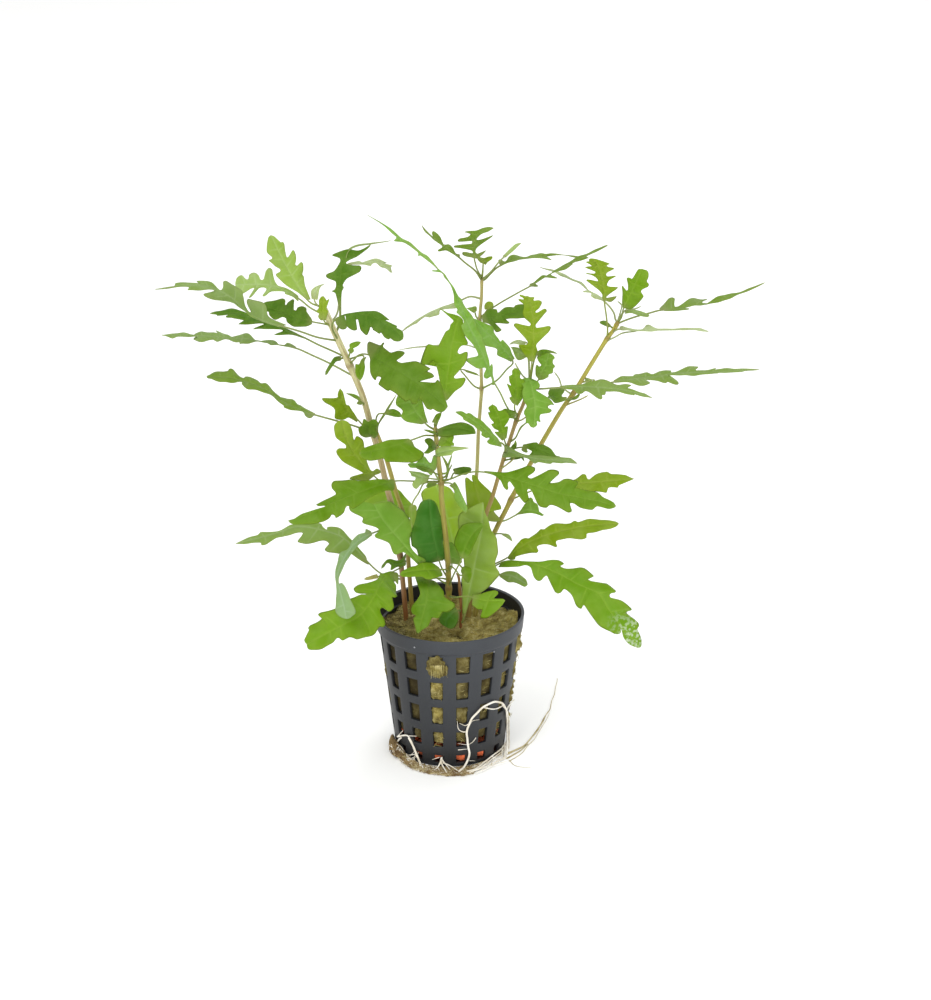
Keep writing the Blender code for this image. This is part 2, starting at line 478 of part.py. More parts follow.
def make_pot(collection):
    """The lattice wall, slotted floor and collar as one shell, a wall thick."""
    wall_heights = sorted(z for row in HOLE_ROWS for z in row)
    profile = [(0, 0), (FLOOR_SLOTS[0], 0), (FLOOR_SLOTS[1], 0), (POT_FOOT_RADIUS, 0)]
    profile += [(pot_radius(z), z) for z in wall_heights + [COLLAR_FROM]]
    profile += [(COLLAR_RADIUS, COLLAR_STEP), (RIM_RADIUS, POT_HEIGHT)]
    hole_starts = {(FLOOR_SLOTS[0], 0)} | {(pot_radius(z), z) for z, _ in HOLE_ROWS}

    def point_at(row, column):
        radius, z = profile[row]
        hole, side = divmod(column % (2 * HOLE_COLUMNS), 2)
        widening = (HOLE_HALF_ANGLE_HIGH - HOLE_HALF_ANGLE_LOW) * z / COLLAR_FROM
        half_angle = HOLE_HALF_ANGLE_LOW + widening
        angle = math.radians((hole + 0.5) * 360 / HOLE_COLUMNS + (2 * side - 1) * half_angle)
        return radius * math.sin(angle), -radius * math.cos(angle), z

    bm = bmesh.new()
    columns = 2 * HOLE_COLUMNS
    grid_over(bm, len(profile) - 1, columns, point_at)
    bm.faces.ensure_lookup_table()
    holes = []
    for index, face in enumerate(bm.faces):
        row, column = divmod(index, columns)
        if column % 2 == 0 and profile[row] in hole_starts:
            holes.append(face)
    bmesh.ops.delete(bm, geom=holes, context="FACES")
    close_seams(bm)
    bmesh.ops.recalc_face_normals(bm, faces=bm.faces)
    pot = object_from(bm, "pot", collection)
    wall = pot.modifiers.new("Wall", "SOLIDIFY")
    wall.thickness = POT_WALL * MM
    wall.offset = -1
    wall.use_even_offset = True
    finish(pot, "53585F", 0.55)


def rockwool_top(x, y):
    """The height of the plug's lumpy top. It rises towards the right wall, clear of the stems."""
    rise = 3.0 * math.exp(-((x - 23) ** 2 + (y - 2) ** 2) / 60)
    pit = 2.2 * math.exp(-((x - 3) ** 2 + (y + 14) ** 2) / 25)
    lumps = 1.3 * abs(noise.noise(Vector((x / 5, y / 5, 1.7))))
    return ROCKWOOL_TOP + rise - pit - lumps


def make_rockwool(collection):
    """The plug of rockwool, one closed lumpy frustum."""
    slope = [ROCKWOOL_FROM, 18.0, 28.0, 37.0, 45.0]
    rings = [(0.0, ROCKWOOL_FROM)] + [(1.0, z) for z in slope]
    rings += [(share, None) for share in (0.94, 0.72, 0.48, 0.24, 0.0)]

    def point_at(row, column):
        share, z = rings[row]
        angle = 2 * math.pi * (column % ROCKWOOL_COLUMNS) / ROCKWOOL_COLUMNS
        height = ROCKWOOL_TOP if z is None else z
        radius = share * (pot_radius(height) - POT_WALL - GAP)
        if 0 < share and z is not None:
            radius -= 0.9 * abs(noise.noise(Vector((math.sin(angle) * 4, math.cos(angle) * 4, z / 5))))
        x = radius * math.sin(angle)
        y = -radius * math.cos(angle)
        return x, y, rockwool_top(x, y) if z is None else z

    bm = bmesh.new()
    grid_over(bm, len(rings) - 1, ROCKWOOL_COLUMNS, point_at)
    close_seams(bm)
    bmesh.ops.recalc_face_normals(bm, faces=bm.faces)
    finish(object_from(bm, "rockwool", collection), "8B7D3E", 0.95)


def make_pebble(name, x, y, radius, collection):
    """A rounded, slightly uneven and flattened ball of fired clay, on the pot's floor."""
    bm = bmesh.new()
    bmesh.ops.create_icosphere(bm, subdivisions=2, radius=1)
    flatten = Vector((1, 1, PEBBLE_HEIGHT))
    middle = Vector((x, y, POT_WALL + GAP + radius * PEBBLE_HEIGHT))
    for vert in bm.verts:
        dent = 0.12 * abs(noise.noise(vert.co * 1.5 + middle))
        vert.co = (middle + vert.co * flatten * radius * (1 - dent)) * MM
    pebble = object_from(bm, name, collection)
    pebble.data.shade_smooth()
    finish(pebble, "D9542F", 0.8)


def tube(name, path, radii, collection, hex_colour):
    """A round rod of changing thickness along a path, as a curve with filled caps."""
    curve = bpy.data.curves.new(name, "CURVE")
    curve.dimensions = "3D"
    curve.bevel_depth = MM
    curve.bevel_resolution = 1
    curve.use_fill_caps = True
    spline = curve.splines.new("POLY")
    spline.points.add(len(path) - 1)
    for point, place, radius in zip(spline.points, path, radii):
        point.co = (*(np.asarray(place) * MM), 1)
        point.radius = radius
    obj = bpy.data.objects.new(name, curve)
    collection.objects.link(obj)
    finish(obj, hex_colour, 0.6)
    return obj


def as_mesh(obj):
    """The tube as a mesh object of the same name, with its caps welded, so that it can be joined."""
    bpy.context.view_layer.update()
    graph = bpy.context.evaluated_depsgraph_get()
    mesh = bpy.data.meshes.new_from_object(obj.evaluated_get(graph))
    bm = bmesh.new()
    bm.from_mesh(mesh)
    bmesh.ops.remove_doubles(bm, verts=bm.verts, dist=1e-6)
    bm.to_mesh(mesh)
    bm.free()
    name = obj.name
    collection = obj.users_collection[0]
    place = obj.matrix_world.copy()
    bpy.data.objects.remove(obj)
    solid = bpy.data.objects.new(name, mesh)
    solid.matrix_world = place
    collection.objects.link(solid)
    return solid


def stem_path(name):
    """Points up the stem's axis, with its radius at each."""
    foot_radius, top_radius, places, nodes = STEMS[name]
    foot = places[0][2]
    route = []
    for across, up, depth in places:
        route.append(seen(across, up, foot + (depth - foot) * DEPTH_STRETCH))
    route = np.array(route)
    route[0][2] = STEM_FOOT
    path = smooth_path(route, round(length_of(route) / STEM_STEP))
    radii = np.linspace(foot_radius, top_radius, len(path))
    for height in nodes:
        radii[np.argmin(abs(on_sheet(path)[:, 1] - height))] *= NODE_SWELLING
    return path, radii


def place_on_stem(name, height):
    """The stem's axis, its direction and its radius where it shows at this height."""
    path, radii = stem_path(name)
    fine = smooth_path(path, 400)
    index = min(np.argmin(abs(on_sheet(fine)[:, 1] - height)), len(fine) - 2)
    radius = np.interp(index, np.linspace(0, 400, len(radii)), radii)
    return fine[index], unit(fine[index + 1] - fine[index]), radius


class Blade:
    """A leaf's midrib, and at each of its points the ways along, out to the side and up from the blade."""

    COUNT = 240

    def __init__(self, name):
        leaf = LEAVES[name]
        axis, along_stem, radius = place_on_stem(leaf.stem, leaf.height)
        route = [seen(across, up, axis[1] + depth * DEPTH_STRETCH) for across, up, depth in leaf.midrib]
        start = axis
        if name not in JOINED:
            way = unit(route[0] - axis)
            lean = way @ along_stem
            out = unit(way - lean * along_stem)
            start = axis + out * (radius + GAP + 0.1 + PETIOLE_HALF_WIDTH * abs(lean))
        self.points = smooth_path([start] + route, self.COUNT)
        self.along = unit(np.gradient(self.points, axis=0))
        to_viewer = -LOOK - (self.along @ -LOOK)[:, None] * self.along
        to_viewer = unit(to_viewer)
        right = 1 if self.points[-1][0] >= self.points[0][0] else -1
        to_sky = right * np.cross(to_viewer, self.along)
        turns = np.radians(np.linspace(*np.broadcast_to(leaf.turn, 2), self.COUNT + 1))[:, None]
        self.upper = to_viewer * np.cos(turns) + to_sky * np.sin(turns)
        self.aside = np.cross(self.along, self.upper)

    def reach_way(self, side):
        """The way that a lobe on this side points: out, forward and a little up."""
        out = side * self.aside * math.cos(LOBE_SWEEP) + self.along * math.sin(LOBE_SWEEP)
        return out + self.upper * EDGE_LIFT

    def root_of(self, lobe):
        """(side, share along the midrib, reach) of the lobe whose tip shows at this place."""
        best = None
        for side in (1, -1):
            way = self.reach_way(side)
            root = on_sheet(self.points)
            step = on_sheet(self.points + way) - root
            gap = np.asarray(lobe) - root
            reach = (gap * step).sum(axis=1) / (step ** 2).sum(axis=1)
            miss = np.linalg.norm(gap - reach[:, None] * step, axis=1) + 0.03 * abs(reach)
            miss[(reach < 0.2) | (np.arange(len(miss)) < 0.05 * self.COUNT)] = 1e9
            index = np.argmin(miss)
            if best is None or miss[index] < best[0]:
                best = (miss[index], side, index / self.COUNT, min(reach[index], LONGEST_LOBE))
        return best[1:]

    def edge_point(self, side, share, reach):
        index = round(share * self.COUNT)
        return self.points[index] + self.reach_way(side)[index] * reach


def blade_width(share, start, half, entire):
    """Half the blade's width without its lobes, at a share of the midrib."""
    s = min(max((share - start) / (1 - start), 0), 1)
    if entire:
        return half * math.sin(math.pi * s ** 1.15) ** 0.8
    return half * math.sin(math.pi * min(s + 0.12, 1) ** 0.9) ** 0.5


def side_corners(lobes, half, start):
    """(share along the midrib, reach) of the corners of one side of the blade, base first."""
    corners = [(0.0, PETIOLE_HALF_WIDTH), (start, PETIOLE_HALF_WIDTH)]
    if not lobes:
        for s in (0.15, 0.32, 0.5, 0.68, 0.86):
            share = start + s * (1 - start)
            corners.append((share, max(blade_width(share, start, half, True), PETIOLE_HALF_WIDTH)))
        return corners
    last_reach = lobes[0][1]
    for share, reach in lobes:
        last_share = corners[-1][0]
        if share - last_share > LEAST_BAY:
            bay = last_share + BAY_AT * (share - last_share)
            width = min(blade_width(bay, start, half, False), BAY_WIDTH * min(reach, last_reach))
            corners.append((bay, max(width, PETIOLE_HALF_WIDTH)))
        corners.append((max(share, last_share + LEAST_STEP), reach))
        last_reach = reach
    if corners[-1][0] < 0.94:
        bay = corners[-1][0] + BAY_AT * (1 - corners[-1][0])
        width = min(blade_width(bay, start, half, False), BAY_WIDTH * last_reach)
        corners.append((bay, max(width, 0.4)))
    return corners


def match_lengths(one, other):
    """Adds corners half way along the shorter list's longest stretches until both are as long."""
    while len(one) != len(other):
        short = one if len(one) < len(other) else other
        stretches = [b[0] - a[0] for a, b in zip(short, short[1:])]
        index = stretches.index(max(stretches))
        middle = [(a + b) / 2 for a, b in zip(short[index], short[index + 1])]
        short.insert(index + 1, tuple(middle))
    return one, other


def make_leaf(name, collection):
    """A leaf as a closed strip: from edge to midrib to edge on top, and back underneath."""
    leaf = LEAVES[name]
    blade = Blade(name)
    lobes = {1: [], -1: []}
    for lobe in leaf.lobes:
        side, share, reach = blade.root_of(lobe)
        lobes[side].append((share, reach))
    if name in EDGE_ON:
        count, reach = EDGE_ON[name]
        for side in (1, -1):
            lobes[side] = [(0.3 + 0.62 * k / count, reach * (1 - 0.5 * k / count)) for k in range(count)]
    first = min([share for side in lobes.values() for share, _ in side] + [0.3])
    start = min(0.18, max(first - 0.06, 0.03))
    sides = match_lengths(*(side_corners(sorted(lobes[side]), leaf.half, start) for side in (1, -1)))
    rows = len(sides[0])

    def point_at(row, column):
        if row == rows:
            return blade.points[-1]
        middle = (sides[0][row][0] + sides[1][row][0]) / 2
        index = round(middle * blade.COUNT)
        thick = LEAF_HALF_THICKNESS * (1 if row < rows - 1 else 0.6)
        if column in (1, 3):
            return blade.points[index] + blade.upper[index] * (thick if column == 1 else -thick)
        side = 1 if column in (0, 4) else -1
        return blade.edge_point(side, *sides[0 if side == 1 else 1][row])

    bm = bmesh.new()
    grid_over(bm, rows, 4, point_at)
    bm.faces.ensure_lookup_table()
    for columns, split in (((0, 2), "FIXED"), ((1, 3), "ALTERNATE")):
        quads = [face for face in bm.faces
                 if len(face.verts) == 4 and face.index >= 0 and face.index % 4 in columns]
        bmesh.ops.triangulate(bm, faces=quads, quad_method=split)
    close_seams(bm)
    bmesh.ops.holes_fill(bm, edges=[edge for edge in bm.edges if edge.is_boundary], sides=0)
    bmesh.ops.recalc_face_normals(bm, faces=bm.faces)
    obj = object_from(bm, name, collection)
    finish(obj, leaf.tone, 0.45)
    return obj


def make_stem(name, collection, joined_collection):
    """A stem, with the leaves that are too fine to part from it."""
    path, radii = stem_path(name)
    stem = as_mesh(tube(name, path, radii, collection, "A8A04A"))
    for leaf_name in JOINED:
        if LEAVES[leaf_name].stem != name:
            continue
        leaf = make_leaf(leaf_name, joined_collection)
        leaf.hide_render = True
        leaf.display_type = "WIRE"
        union = stem.modifiers.new("Join " + leaf_name, "BOOLEAN")
        union.operation = "UNION"
        union.object = leaf


def on_wall(across, up, off):
    """The point in front of the pot's wall, this far off it, that shows at this place of the sheet."""
    near, far = -60.0, 0.0
    for _ in range(40):
        depth = (near + far) / 2
        x, y, z = seen(across, up, depth)
        if math.hypot(x, y) > pot_radius(z) + off and depth < 0:
            near = depth
        else:
            far = depth
    return seen(across, up, near)


def on_level(across, up, z):
    """The point at this height that shows at this place of the sheet."""
    ray = seen(across, up, 0) - EYE
    return EYE + ray * (z - EYE[2]) / ray[2]


def make_root_mat(collection):
    """The flat felt of roots that lies around the foot, left open at the back."""
    shares = np.linspace(0, len(ROOT_MAT) - 1, ROOT_MAT_ROWS + 1)
    rows = [np.interp(shares, np.arange(len(ROOT_MAT)), column) for column in np.array(ROOT_MAT, float).T]

    def point_at(row, column):
        angle = math.radians(rows[0][row])
        outer, height = rows[1][row], rows[2][row]
        inner = pot_radius(height) + GAP + 0.1
        around = 2 * math.pi * column / ROOT_MAT_SIDES
        ends = 0.6 if row in (0, ROOT_MAT_ROWS) else 1
        distance = (outer + inner) / 2 + ends * (outer - inner) / 2 * math.cos(around)
        z = 0.05 + height / 2 + ends * height / 2 * math.sin(around)
        return distance * math.sin(angle), -distance * math.cos(angle), z

    bm = bmesh.new()
    grid_over(bm, ROOT_MAT_ROWS, ROOT_MAT_SIDES, point_at)
    close_seams(bm)
    bmesh.ops.holes_fill(bm, edges=[edge for edge in bm.edges if edge.is_boundary], sides=0)
    bmesh.ops.recalc_face_normals(bm, faces=bm.faces)
    finish(object_from(bm, "root_mat", collection), "B59E7E", 0.9)


def make_roots(collection):
    for name, (radius, places) in WALL_ROOTS.items():
        route = [on_wall(across, up, radius + GAP + 0.15) for across, up in places]
        path = smooth_path(route, round(length_of(np.array(route)) / ROOT_STEP))
        tube(name, path, np.full(len(path), radius), collection, "E6E0D2")
    radius, places = LONG_ROOT
    path = smooth_path([on_level(across, up, radius + 0.05) for across, up in places], 16)
    tube("root_long", path, np.linspace(radius, 0.3, len(path)), collection, "C9B98F")
    make_root_mat(collection)


def main():
    for obj in list(bpy.data.objects):
        bpy.data.objects.remove(obj)
    collection = bpy.data.collections.new("Hygrophila pinnatifida in a net pot")
    joined = bpy.data.collections.new("Leaves joined to their stems")
    bpy.context.scene.collection.children.link(collection)
    bpy.context.scene.collection.children.link(joined)
    make_pot(collection)
    make_rockwool(collection)
    for pebble in PEBBLES:
        make_pebble(*pebble, collection)
    for name in STEMS:
        make_stem(name, collection, joined)
    for name in LEAVES:
        if name not in JOINED:
            make_leaf(name, collection)
    make_roots(collection)


main()
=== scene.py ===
# %% [markdown]
# # A water plant in its net pot
# The real object is a young Hygrophila pinnatifida as a plant shop sells it: seven stems in a plug of
# rockwool, in a small plastic pot with a lattice wall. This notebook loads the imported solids, which give
# every piece its place and size, and builds the plant's real surfaces over them: lobed leaves with veins,
# jointed stems, matted wool, clay pebbles and roots.

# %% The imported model
import math
import random
from collections import namedtuple

import bmesh
import bpy
import numpy as np
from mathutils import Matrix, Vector, noise


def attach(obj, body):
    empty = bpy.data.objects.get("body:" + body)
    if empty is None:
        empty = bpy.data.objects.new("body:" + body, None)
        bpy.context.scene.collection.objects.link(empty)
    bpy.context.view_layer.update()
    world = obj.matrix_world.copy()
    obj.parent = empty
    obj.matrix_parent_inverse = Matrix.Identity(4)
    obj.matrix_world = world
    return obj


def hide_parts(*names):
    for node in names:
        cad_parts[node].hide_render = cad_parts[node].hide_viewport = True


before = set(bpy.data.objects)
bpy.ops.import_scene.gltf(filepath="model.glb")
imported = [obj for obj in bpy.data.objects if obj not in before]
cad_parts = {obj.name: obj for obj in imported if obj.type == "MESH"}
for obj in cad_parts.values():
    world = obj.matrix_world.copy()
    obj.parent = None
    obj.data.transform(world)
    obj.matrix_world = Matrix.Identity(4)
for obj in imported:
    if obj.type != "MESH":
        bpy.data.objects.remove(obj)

noise.seed_set(3)
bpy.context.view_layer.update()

# %% [markdown]
# ## The standpoint
# The plant was measured on a photograph, so its places are given as they are seen: millimetres across and
# up on a sheet that faces the viewer through the plant's middle, and the depth, which is y. One function
# turns such a place into a point, and the camera stands where those sight lines start.

# %% The standpoint
MM = 0.001
VIEW_TILT = math.radians(21.4)
VIEW_DISTANCE = 850.0
VIEW_AIM = np.array((5.6, 0.0, 94.5))
SHEET_MIDDLE = np.array((5.6, 96.95))
LOOK = np.array((0.0, math.cos(VIEW_TILT), -math.sin(VIEW_TILT)))
LIFT = np.array((0.0, math.sin(VIEW_TILT), math.cos(VIEW_TILT)))
EYE = VIEW_AIM - VIEW_DISTANCE * LOOK


def sight_line(places):
    """The ways from the eye through places of the sheet."""
    gap = np.asarray(places, float) - SHEET_MIDDLE
    return LOOK * VIEW_DISTANCE + gap[..., :1] * (1, 0, 0) + gap[..., 1:] * LIFT


def seen(across, up, depth):
    """The point at this depth that shows at this place of the sheet."""
    ray = sight_line((across, up))
    return EYE + ray * (depth - EYE[1]) / ray[1]


def on_sheet(points):
    """The places of the sheet where these points show."""
    away = np.asarray(points) - EYE
    scale = VIEW_DISTANCE / (away @ LOOK)
    return np.stack([away[..., 0] * scale, away @ LIFT * scale], axis=-1) + SHEET_MIDDLE


def on_level(across, up, z):
    """The point at this height that shows at this place of the sheet."""
    ray = seen(across, up, 0) - EYE
    return EYE + ray * (z - EYE[2]) / ray[2]


print("the eye stands at", EYE.round(1), "mm")

# %% The camera
PICTURE_HEIGHT = 350.0
SENSOR = 36.0
lens = bpy.data.cameras.new("Camera")
lens.sensor_fit = "VERTICAL"
lens.sensor_height = SENSOR
lens.lens = SENSOR * VIEW_DISTANCE / PICTURE_HEIGHT
camera = bpy.data.objects.new("Camera", lens)
camera.location = Vector(EYE) * MM
camera.rotation_euler = (math.pi / 2 - VIEW_TILT, 0, 0)
bpy.context.scene.collection.objects.link(camera)
bpy.context.scene.camera = camera
print("focal length", round(lens.lens, 1), "mm")

# %% [markdown]
# ## Curves through given places
# Stems, midribs and roots are all smooth lines through a few places. A Catmull-Rom curve passes through
# every one of them, and reading it at even steps keeps the faces along it alike.

# %% Smooth lines
SPAN_STEPS = 16


def unit(vectors):
    return vectors / np.linalg.norm(vectors, axis=-1, keepdims=True)


def distances(path):
    """How far along a path each of its points lies."""
    return np.concatenate([[0], np.cumsum(np.linalg.norm(np.diff(path, axis=0), axis=1))])


def smooth_path(points, count):
    """count + 1 evenly spaced points on a smooth curve through the given ones."""
    points = np.asarray(points, float)
    ends = np.vstack([2 * points[0] - points[1], points, 2 * points[-1] - points[-2]])
    fine = []
    for before, start, end, after in zip(ends, ends[1:], ends[2:], ends[3:]):
        for s in np.linspace(0, 1, SPAN_STEPS, endpoint=False):
            fine.append(0.5 * (2 * start + (end - before) * s
                               + (2 * before - 5 * start + 4 * end - after) * s ** 2
                               + (3 * start - before - 3 * end + after) * s ** 3))
    fine = np.array(fine + [points[-1]])
    travelled = distances(fine)
    stops = np.linspace(0, travelled[-1], count + 1)
    return np.stack([np.interp(stops, travelled, axis) for axis in fine.T], axis=-1)


def length_of(path):
    return np.linalg.norm(np.diff(path, axis=0), axis=1).sum()


def in_mm(tenths, size):
    """Rows of this many numbers, in millimetres, from a list in tenths of a millimetre."""
    return np.reshape(tenths, (-1, size)) / 10


def round_axis(radius, angle, z):
    """The place this far from the pot's axis, at this angle from the front, and at this height."""
    return radius * math.sin(angle), -radius * math.cos(angle), z


def blurred(values, width):
    """The same numbers with each one averaged with its neighbours over this many rows."""
    values = np.asarray(values, float)
    weights = np.hanning(2 * width + 3)[1:-1]
    padded = np.concatenate([values[:1]] * width + [values] + [values[-1:]] * width)
    columns = padded.reshape(len(padded), -1).T
    out = [np.convolve(column, weights / weights.sum(), mode="valid") for column in columns]
    return np.array(out).T.reshape(values.shape)


print("a straight 10 mm line measures", length_of(smooth_path([(0, 0, 0), (5, 0, 0), (10, 0, 0)], 8)), "mm")

# %% [markdown]
# ## From a grid to a piece
# Most of the plant is skin wrapped round a line. Each such piece starts as a flat grid from
# create_grid, whose corners are then laid where they belong. Numbers such as how near a corner is to a vein
# ride along as attributes, for the materials to read.

# %% Laying a grid
def new_bmesh(*attributes):
    bm = bmesh.new()
    for name in attributes:
        bm.verts.layers.float.new(name)
    return bm


def lay_grid(bm, places, **values):
    """A grid of faces with its corners at places[row, column], in millimetres, and values as attributes."""
    rows, columns = places.shape[0] - 1, places.shape[1] - 1
    made = bmesh.ops.create_grid(bm, x_segments=columns, y_segments=rows, size=1)["verts"]
    for vert, place in zip(made, places.reshape(-1, 3) * MM):
        vert.co = place
    for name, numbers in values.items():
        layer = bm.verts.layers.float[name]
        for vert, number in zip(made, np.broadcast_to(numbers, places.shape[:2]).ravel()):
            vert[layer] = number
    return made


def close_up(bm):
    """Welds seams and poles and fills what is still open."""
    bmesh.ops.remove_doubles(bm, verts=bm.verts, dist=2e-6)
    bmesh.ops.dissolve_degenerate(bm, dist=1e-6, edges=bm.edges)
    bmesh.ops.holes_fill(bm, edges=[edge for edge in bm.edges if edge.is_boundary], sides=0)
    bmesh.ops.recalc_face_normals(bm, faces=bm.faces)


def piece_from(bm, name, slot, *materials, stands_for=()):
    """A finished piece: smooth faces, its materials, its body and the solids that it stands for."""
    for face in bm.faces:
        face.smooth = True
    mesh = bpy.data.meshes.new(name)
    bm.to_mesh(mesh)
    bm.free()
    piece = bpy.data.objects.new(name, mesh)
    bpy.context.scene.collection.objects.link(piece)
    for material in materials:
        mesh.materials.append(material)
    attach(piece, "root")
    if stands_for:
        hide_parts(*stands_for)
    return piece


# %% [markdown]
# ## Materials
# Colours are written as sRGB hex, as a paint program shows them, and one function turns them into the
# linear numbers that a shader takes. One more adds a node with its settings and links.

# %% Colours and nodes
def linear(hex_colour):
    parts = [int(hex_colour[i:i + 2], 16) / 255 for i in (0, 2, 4)]
    return [c / 12.92 if c <= 0.04045 else ((c + 0.055) / 1.055) ** 2.4 for c in parts] + [1]


def add(tree, kind, sockets=(), stops=(), **settings):
    """A node, with its settings, its colour stops, and a value or a feeding output for its sockets."""
    node = tree.nodes.new(kind)
    for name, value in settings.items():
        setattr(node, name, value)
    for name, value in dict(sockets).items():
        if isinstance(value, bpy.types.NodeSocket):
            tree.links.new(value, node.inputs[name])
        else:
            node.inputs[name].default_value = linear(value) if isinstance(value, str) else value
    for index, (place, colour) in enumerate(stops):
        elements = node.color_ramp.elements
        stop = elements[index] if index < 2 else elements.new(place)
        stop.position = place
        stop.color = linear(colour)
    return node


def new_material(name, roughness, **constants):
    material = bpy.data.materials.new(name)
    material.use_nodes = True
    shader = material.node_tree.nodes["Principled BSDF"]
    shader.inputs["Roughness"].default_value = roughness
    for socket, value in constants.items():
        shader.inputs[socket.replace("_", " ")].default_value = value
    return material, material.node_tree, shader


def mixed(tree, share, one, other):
    """The output that fades from one colour to the other."""
    return add(tree, "ShaderNodeMix", {0: share, 6: one, 7: other}, data_type="RGBA").outputs[2]


def ranged(tree, value, low, high, first=0.0, last=1.0):
    """The output that goes from first to last while the value goes from low to high."""
    return add(tree, "ShaderNodeMapRange", {0: value, 1: low, 2: high, 3: first, 4: last}).outputs[0]


def product(tree, one, other):
    return add(tree, "ShaderNodeMath", {0: one, 1: other}, operation="MULTIPLY").outputs[0]


def attribute(tree, name):
    return add(tree, "ShaderNodeAttribute", attribute_name=name).outputs["Fac"]


def patches(tree, where, scale, detail, roughness=0.5):
    """The output of a noise with about this many patches to the metre."""
    return add(tree, "ShaderNodeTexNoise", {
        "Vector": where, "Scale": scale, "Detail": detail, "Roughness": roughness}).outputs[0]


def finish_skin(tree, shader, colour, relief, depth, strength):
    """Gives the shader its colour and a relief, whose depth is in metres."""
    tree.links.new(colour, shader.inputs["Base Color"])
    bump = add(tree, "ShaderNodeBump", {"Height": relief, "Distance": depth, "Strength": strength}).outputs[0]
    tree.links.new(bump, shader.inputs["Normal"])


print("leaf green is", [round(c, 3) for c in linear("659A26")])

# %% [markdown]
# ### Leaf
# A leaf is a thin skin of living cells over a wet, scattering middle. Its upper side has a soft wax gloss,
# the veins are paler, the underside is paler and duller, and light from behind comes through it. So a
# Principled shader for the wax is mixed with a Translucent one for the light that comes through. The
# pattern follows the leaf by its own attributes: vein, under, rim, stalk and worn, and one tint for a leaf.

# %% The leaf material
# The upper side, the veins and the underside
TONES = {
    "bright": ("6C990E", "92B33A", "8CAE40"),
    "green": ("5C8708", "7FA132", "82A540"),
    "dark": ("4A7510", "6A8E2A", "7B9C42"),
    "deep": ("3C7A1E", "649440", "5E9240"),
    "lime": ("93BA36", "B8D078", "A8C766"),
    # A brighter copy of lime, painted light for a leaf that is turned away from the lamps and lies in the
    # shade of leaves in front
    "lime_painted_light": ("BEDE48", "D2E896", "C6E084"),
    "yellow_green": ("83A114", "A6B748", "9FB44E"),
    "light": ("93B34A", "B5CB80", "AAC274"),
    "pale": ("A3BF6A", "BFD298", "B8CD92"),
    "blue_green": ("7CAD38", "A0C474", "9CBF70"),
    "sage": ("819D4E", "A8BC84", "96AE70"),
    "silver": ("8FB07A", "B4CBA4", "A3BF94"),
    "faded": ("B3C28B", "CDD8B4", "B8C698"),
    "olive": ("70902A", "92A858", "88A24E"),
    "fresh": ("72A234", "9CBF60", "93B856"),
    "tan": ("B5AC5E", "CBC382", "BCB370"),
}


def leaf_material(tone):
    upper, vein, under = TONES[tone]
    material, tree, shader = new_material("leaf_skin_" + tone, 0.45, Specular_IOR_Level=0.16)
    where = add(tree, "ShaderNodeTexCoord").outputs["Object"]
    # Patches of 5 mm, as cells age unevenly
    aged = ranged(tree, patches(tree, where, 200.0, 3.0), 0.35, 0.65, 0.0, 0.4)
    skin = mixed(tree, aged, upper, under)
    skin = mixed(tree, attribute(tree, "tint"), skin, TONES["yellow_green"][0])
    skin = mixed(tree, product(tree, attribute(tree, "vein"), 0.45), skin, vein)
    skin = mixed(tree, attribute(tree, "under"), skin, under)
    skin = mixed(tree, product(tree, attribute(tree, "rim"), 0.15), skin, "A8A53C")
    skin = mixed(tree, attribute(tree, "stalk"), skin, "949A5C")
    # Where the skin has dried it is mottled white, in spots of 1 mm
    dry = ranged(tree, patches(tree, where, 900.0, 2.0), 0.48, 0.6, 0.0, 0.75)
    skin = mixed(tree, product(tree, dry, attribute(tree, "worn")), skin, "CBD8BA")
    # The skin is drawn in cells of 0.5 mm, coarser than the real ones, so that they show
    finish_skin(tree, shader, skin, patches(tree, where, 2000.0, 2.0), 0.0002, 0.35)
    through = add(tree, "ShaderNodeBsdfTranslucent", {"Color": skin})
    both = add(tree, "ShaderNodeMixShader", {0: 0.28, 1: shader.outputs[0], 2: through.outputs[0]})
    tree.links.new(both.outputs[0], tree.nodes["Material Output"].inputs["Surface"])
    return material


leaf_skins = {tone: leaf_material(tone) for tone in TONES}
print(len(leaf_skins), "leaf materials")

# %% [markdown]
# ### Stem
# The stems are soft green wood: tan to olive, streaked along their length, with brown rings where leaves
# have grown. The streaks follow the stem by two attributes: length along it and angle round it.

# %% The stem material
def stem_material(name, foot, top):
    material, tree, shader = new_material("stem_bark_" + name, 0.5)
    # Streaks about 0.6 mm wide and 15 mm long
    place = add(tree, "ShaderNodeCombineXYZ", {
        "X": attribute(tree, "round"), "Z": product(tree, attribute(tree, "along"), 0.08)}).outputs[0]
    streaks = patches(tree, place, 1.6, 3.0)
    bark = mixed(tree, attribute(tree, "share"), foot, top)
    bark = mixed(tree, 0.5, bark, mixed(tree, ranged(tree, streaks, 0.42, 0.62), bark, "84622F"))
    ringed = mixed(tree, attribute(tree, "node"), bark, "6A4C28")
    finish_skin(tree, shader, ringed, streaks, 0.0003, 0.4)
    return material


STEM_TONES = {
    "stem_left": ("7C4014", "C9C996"),
    "stem_left_short": ("84702A", "ACA64A"),
    "stem_middle": ("8C862C", "A09A4C"),
    "stem_tall": ("B2B476", "A19C58"),
    "stem_right": ("84702E", "A08C50"),
    "stem_far_right": ("8E8433", "A5A23A"),
    "stem_young": ("84451E", "7C5A26"),
}
stem_barks = {name: stem_material(name, *tones) for name, tones in STEM_TONES.items()}
print(len(stem_barks), "stem materials")
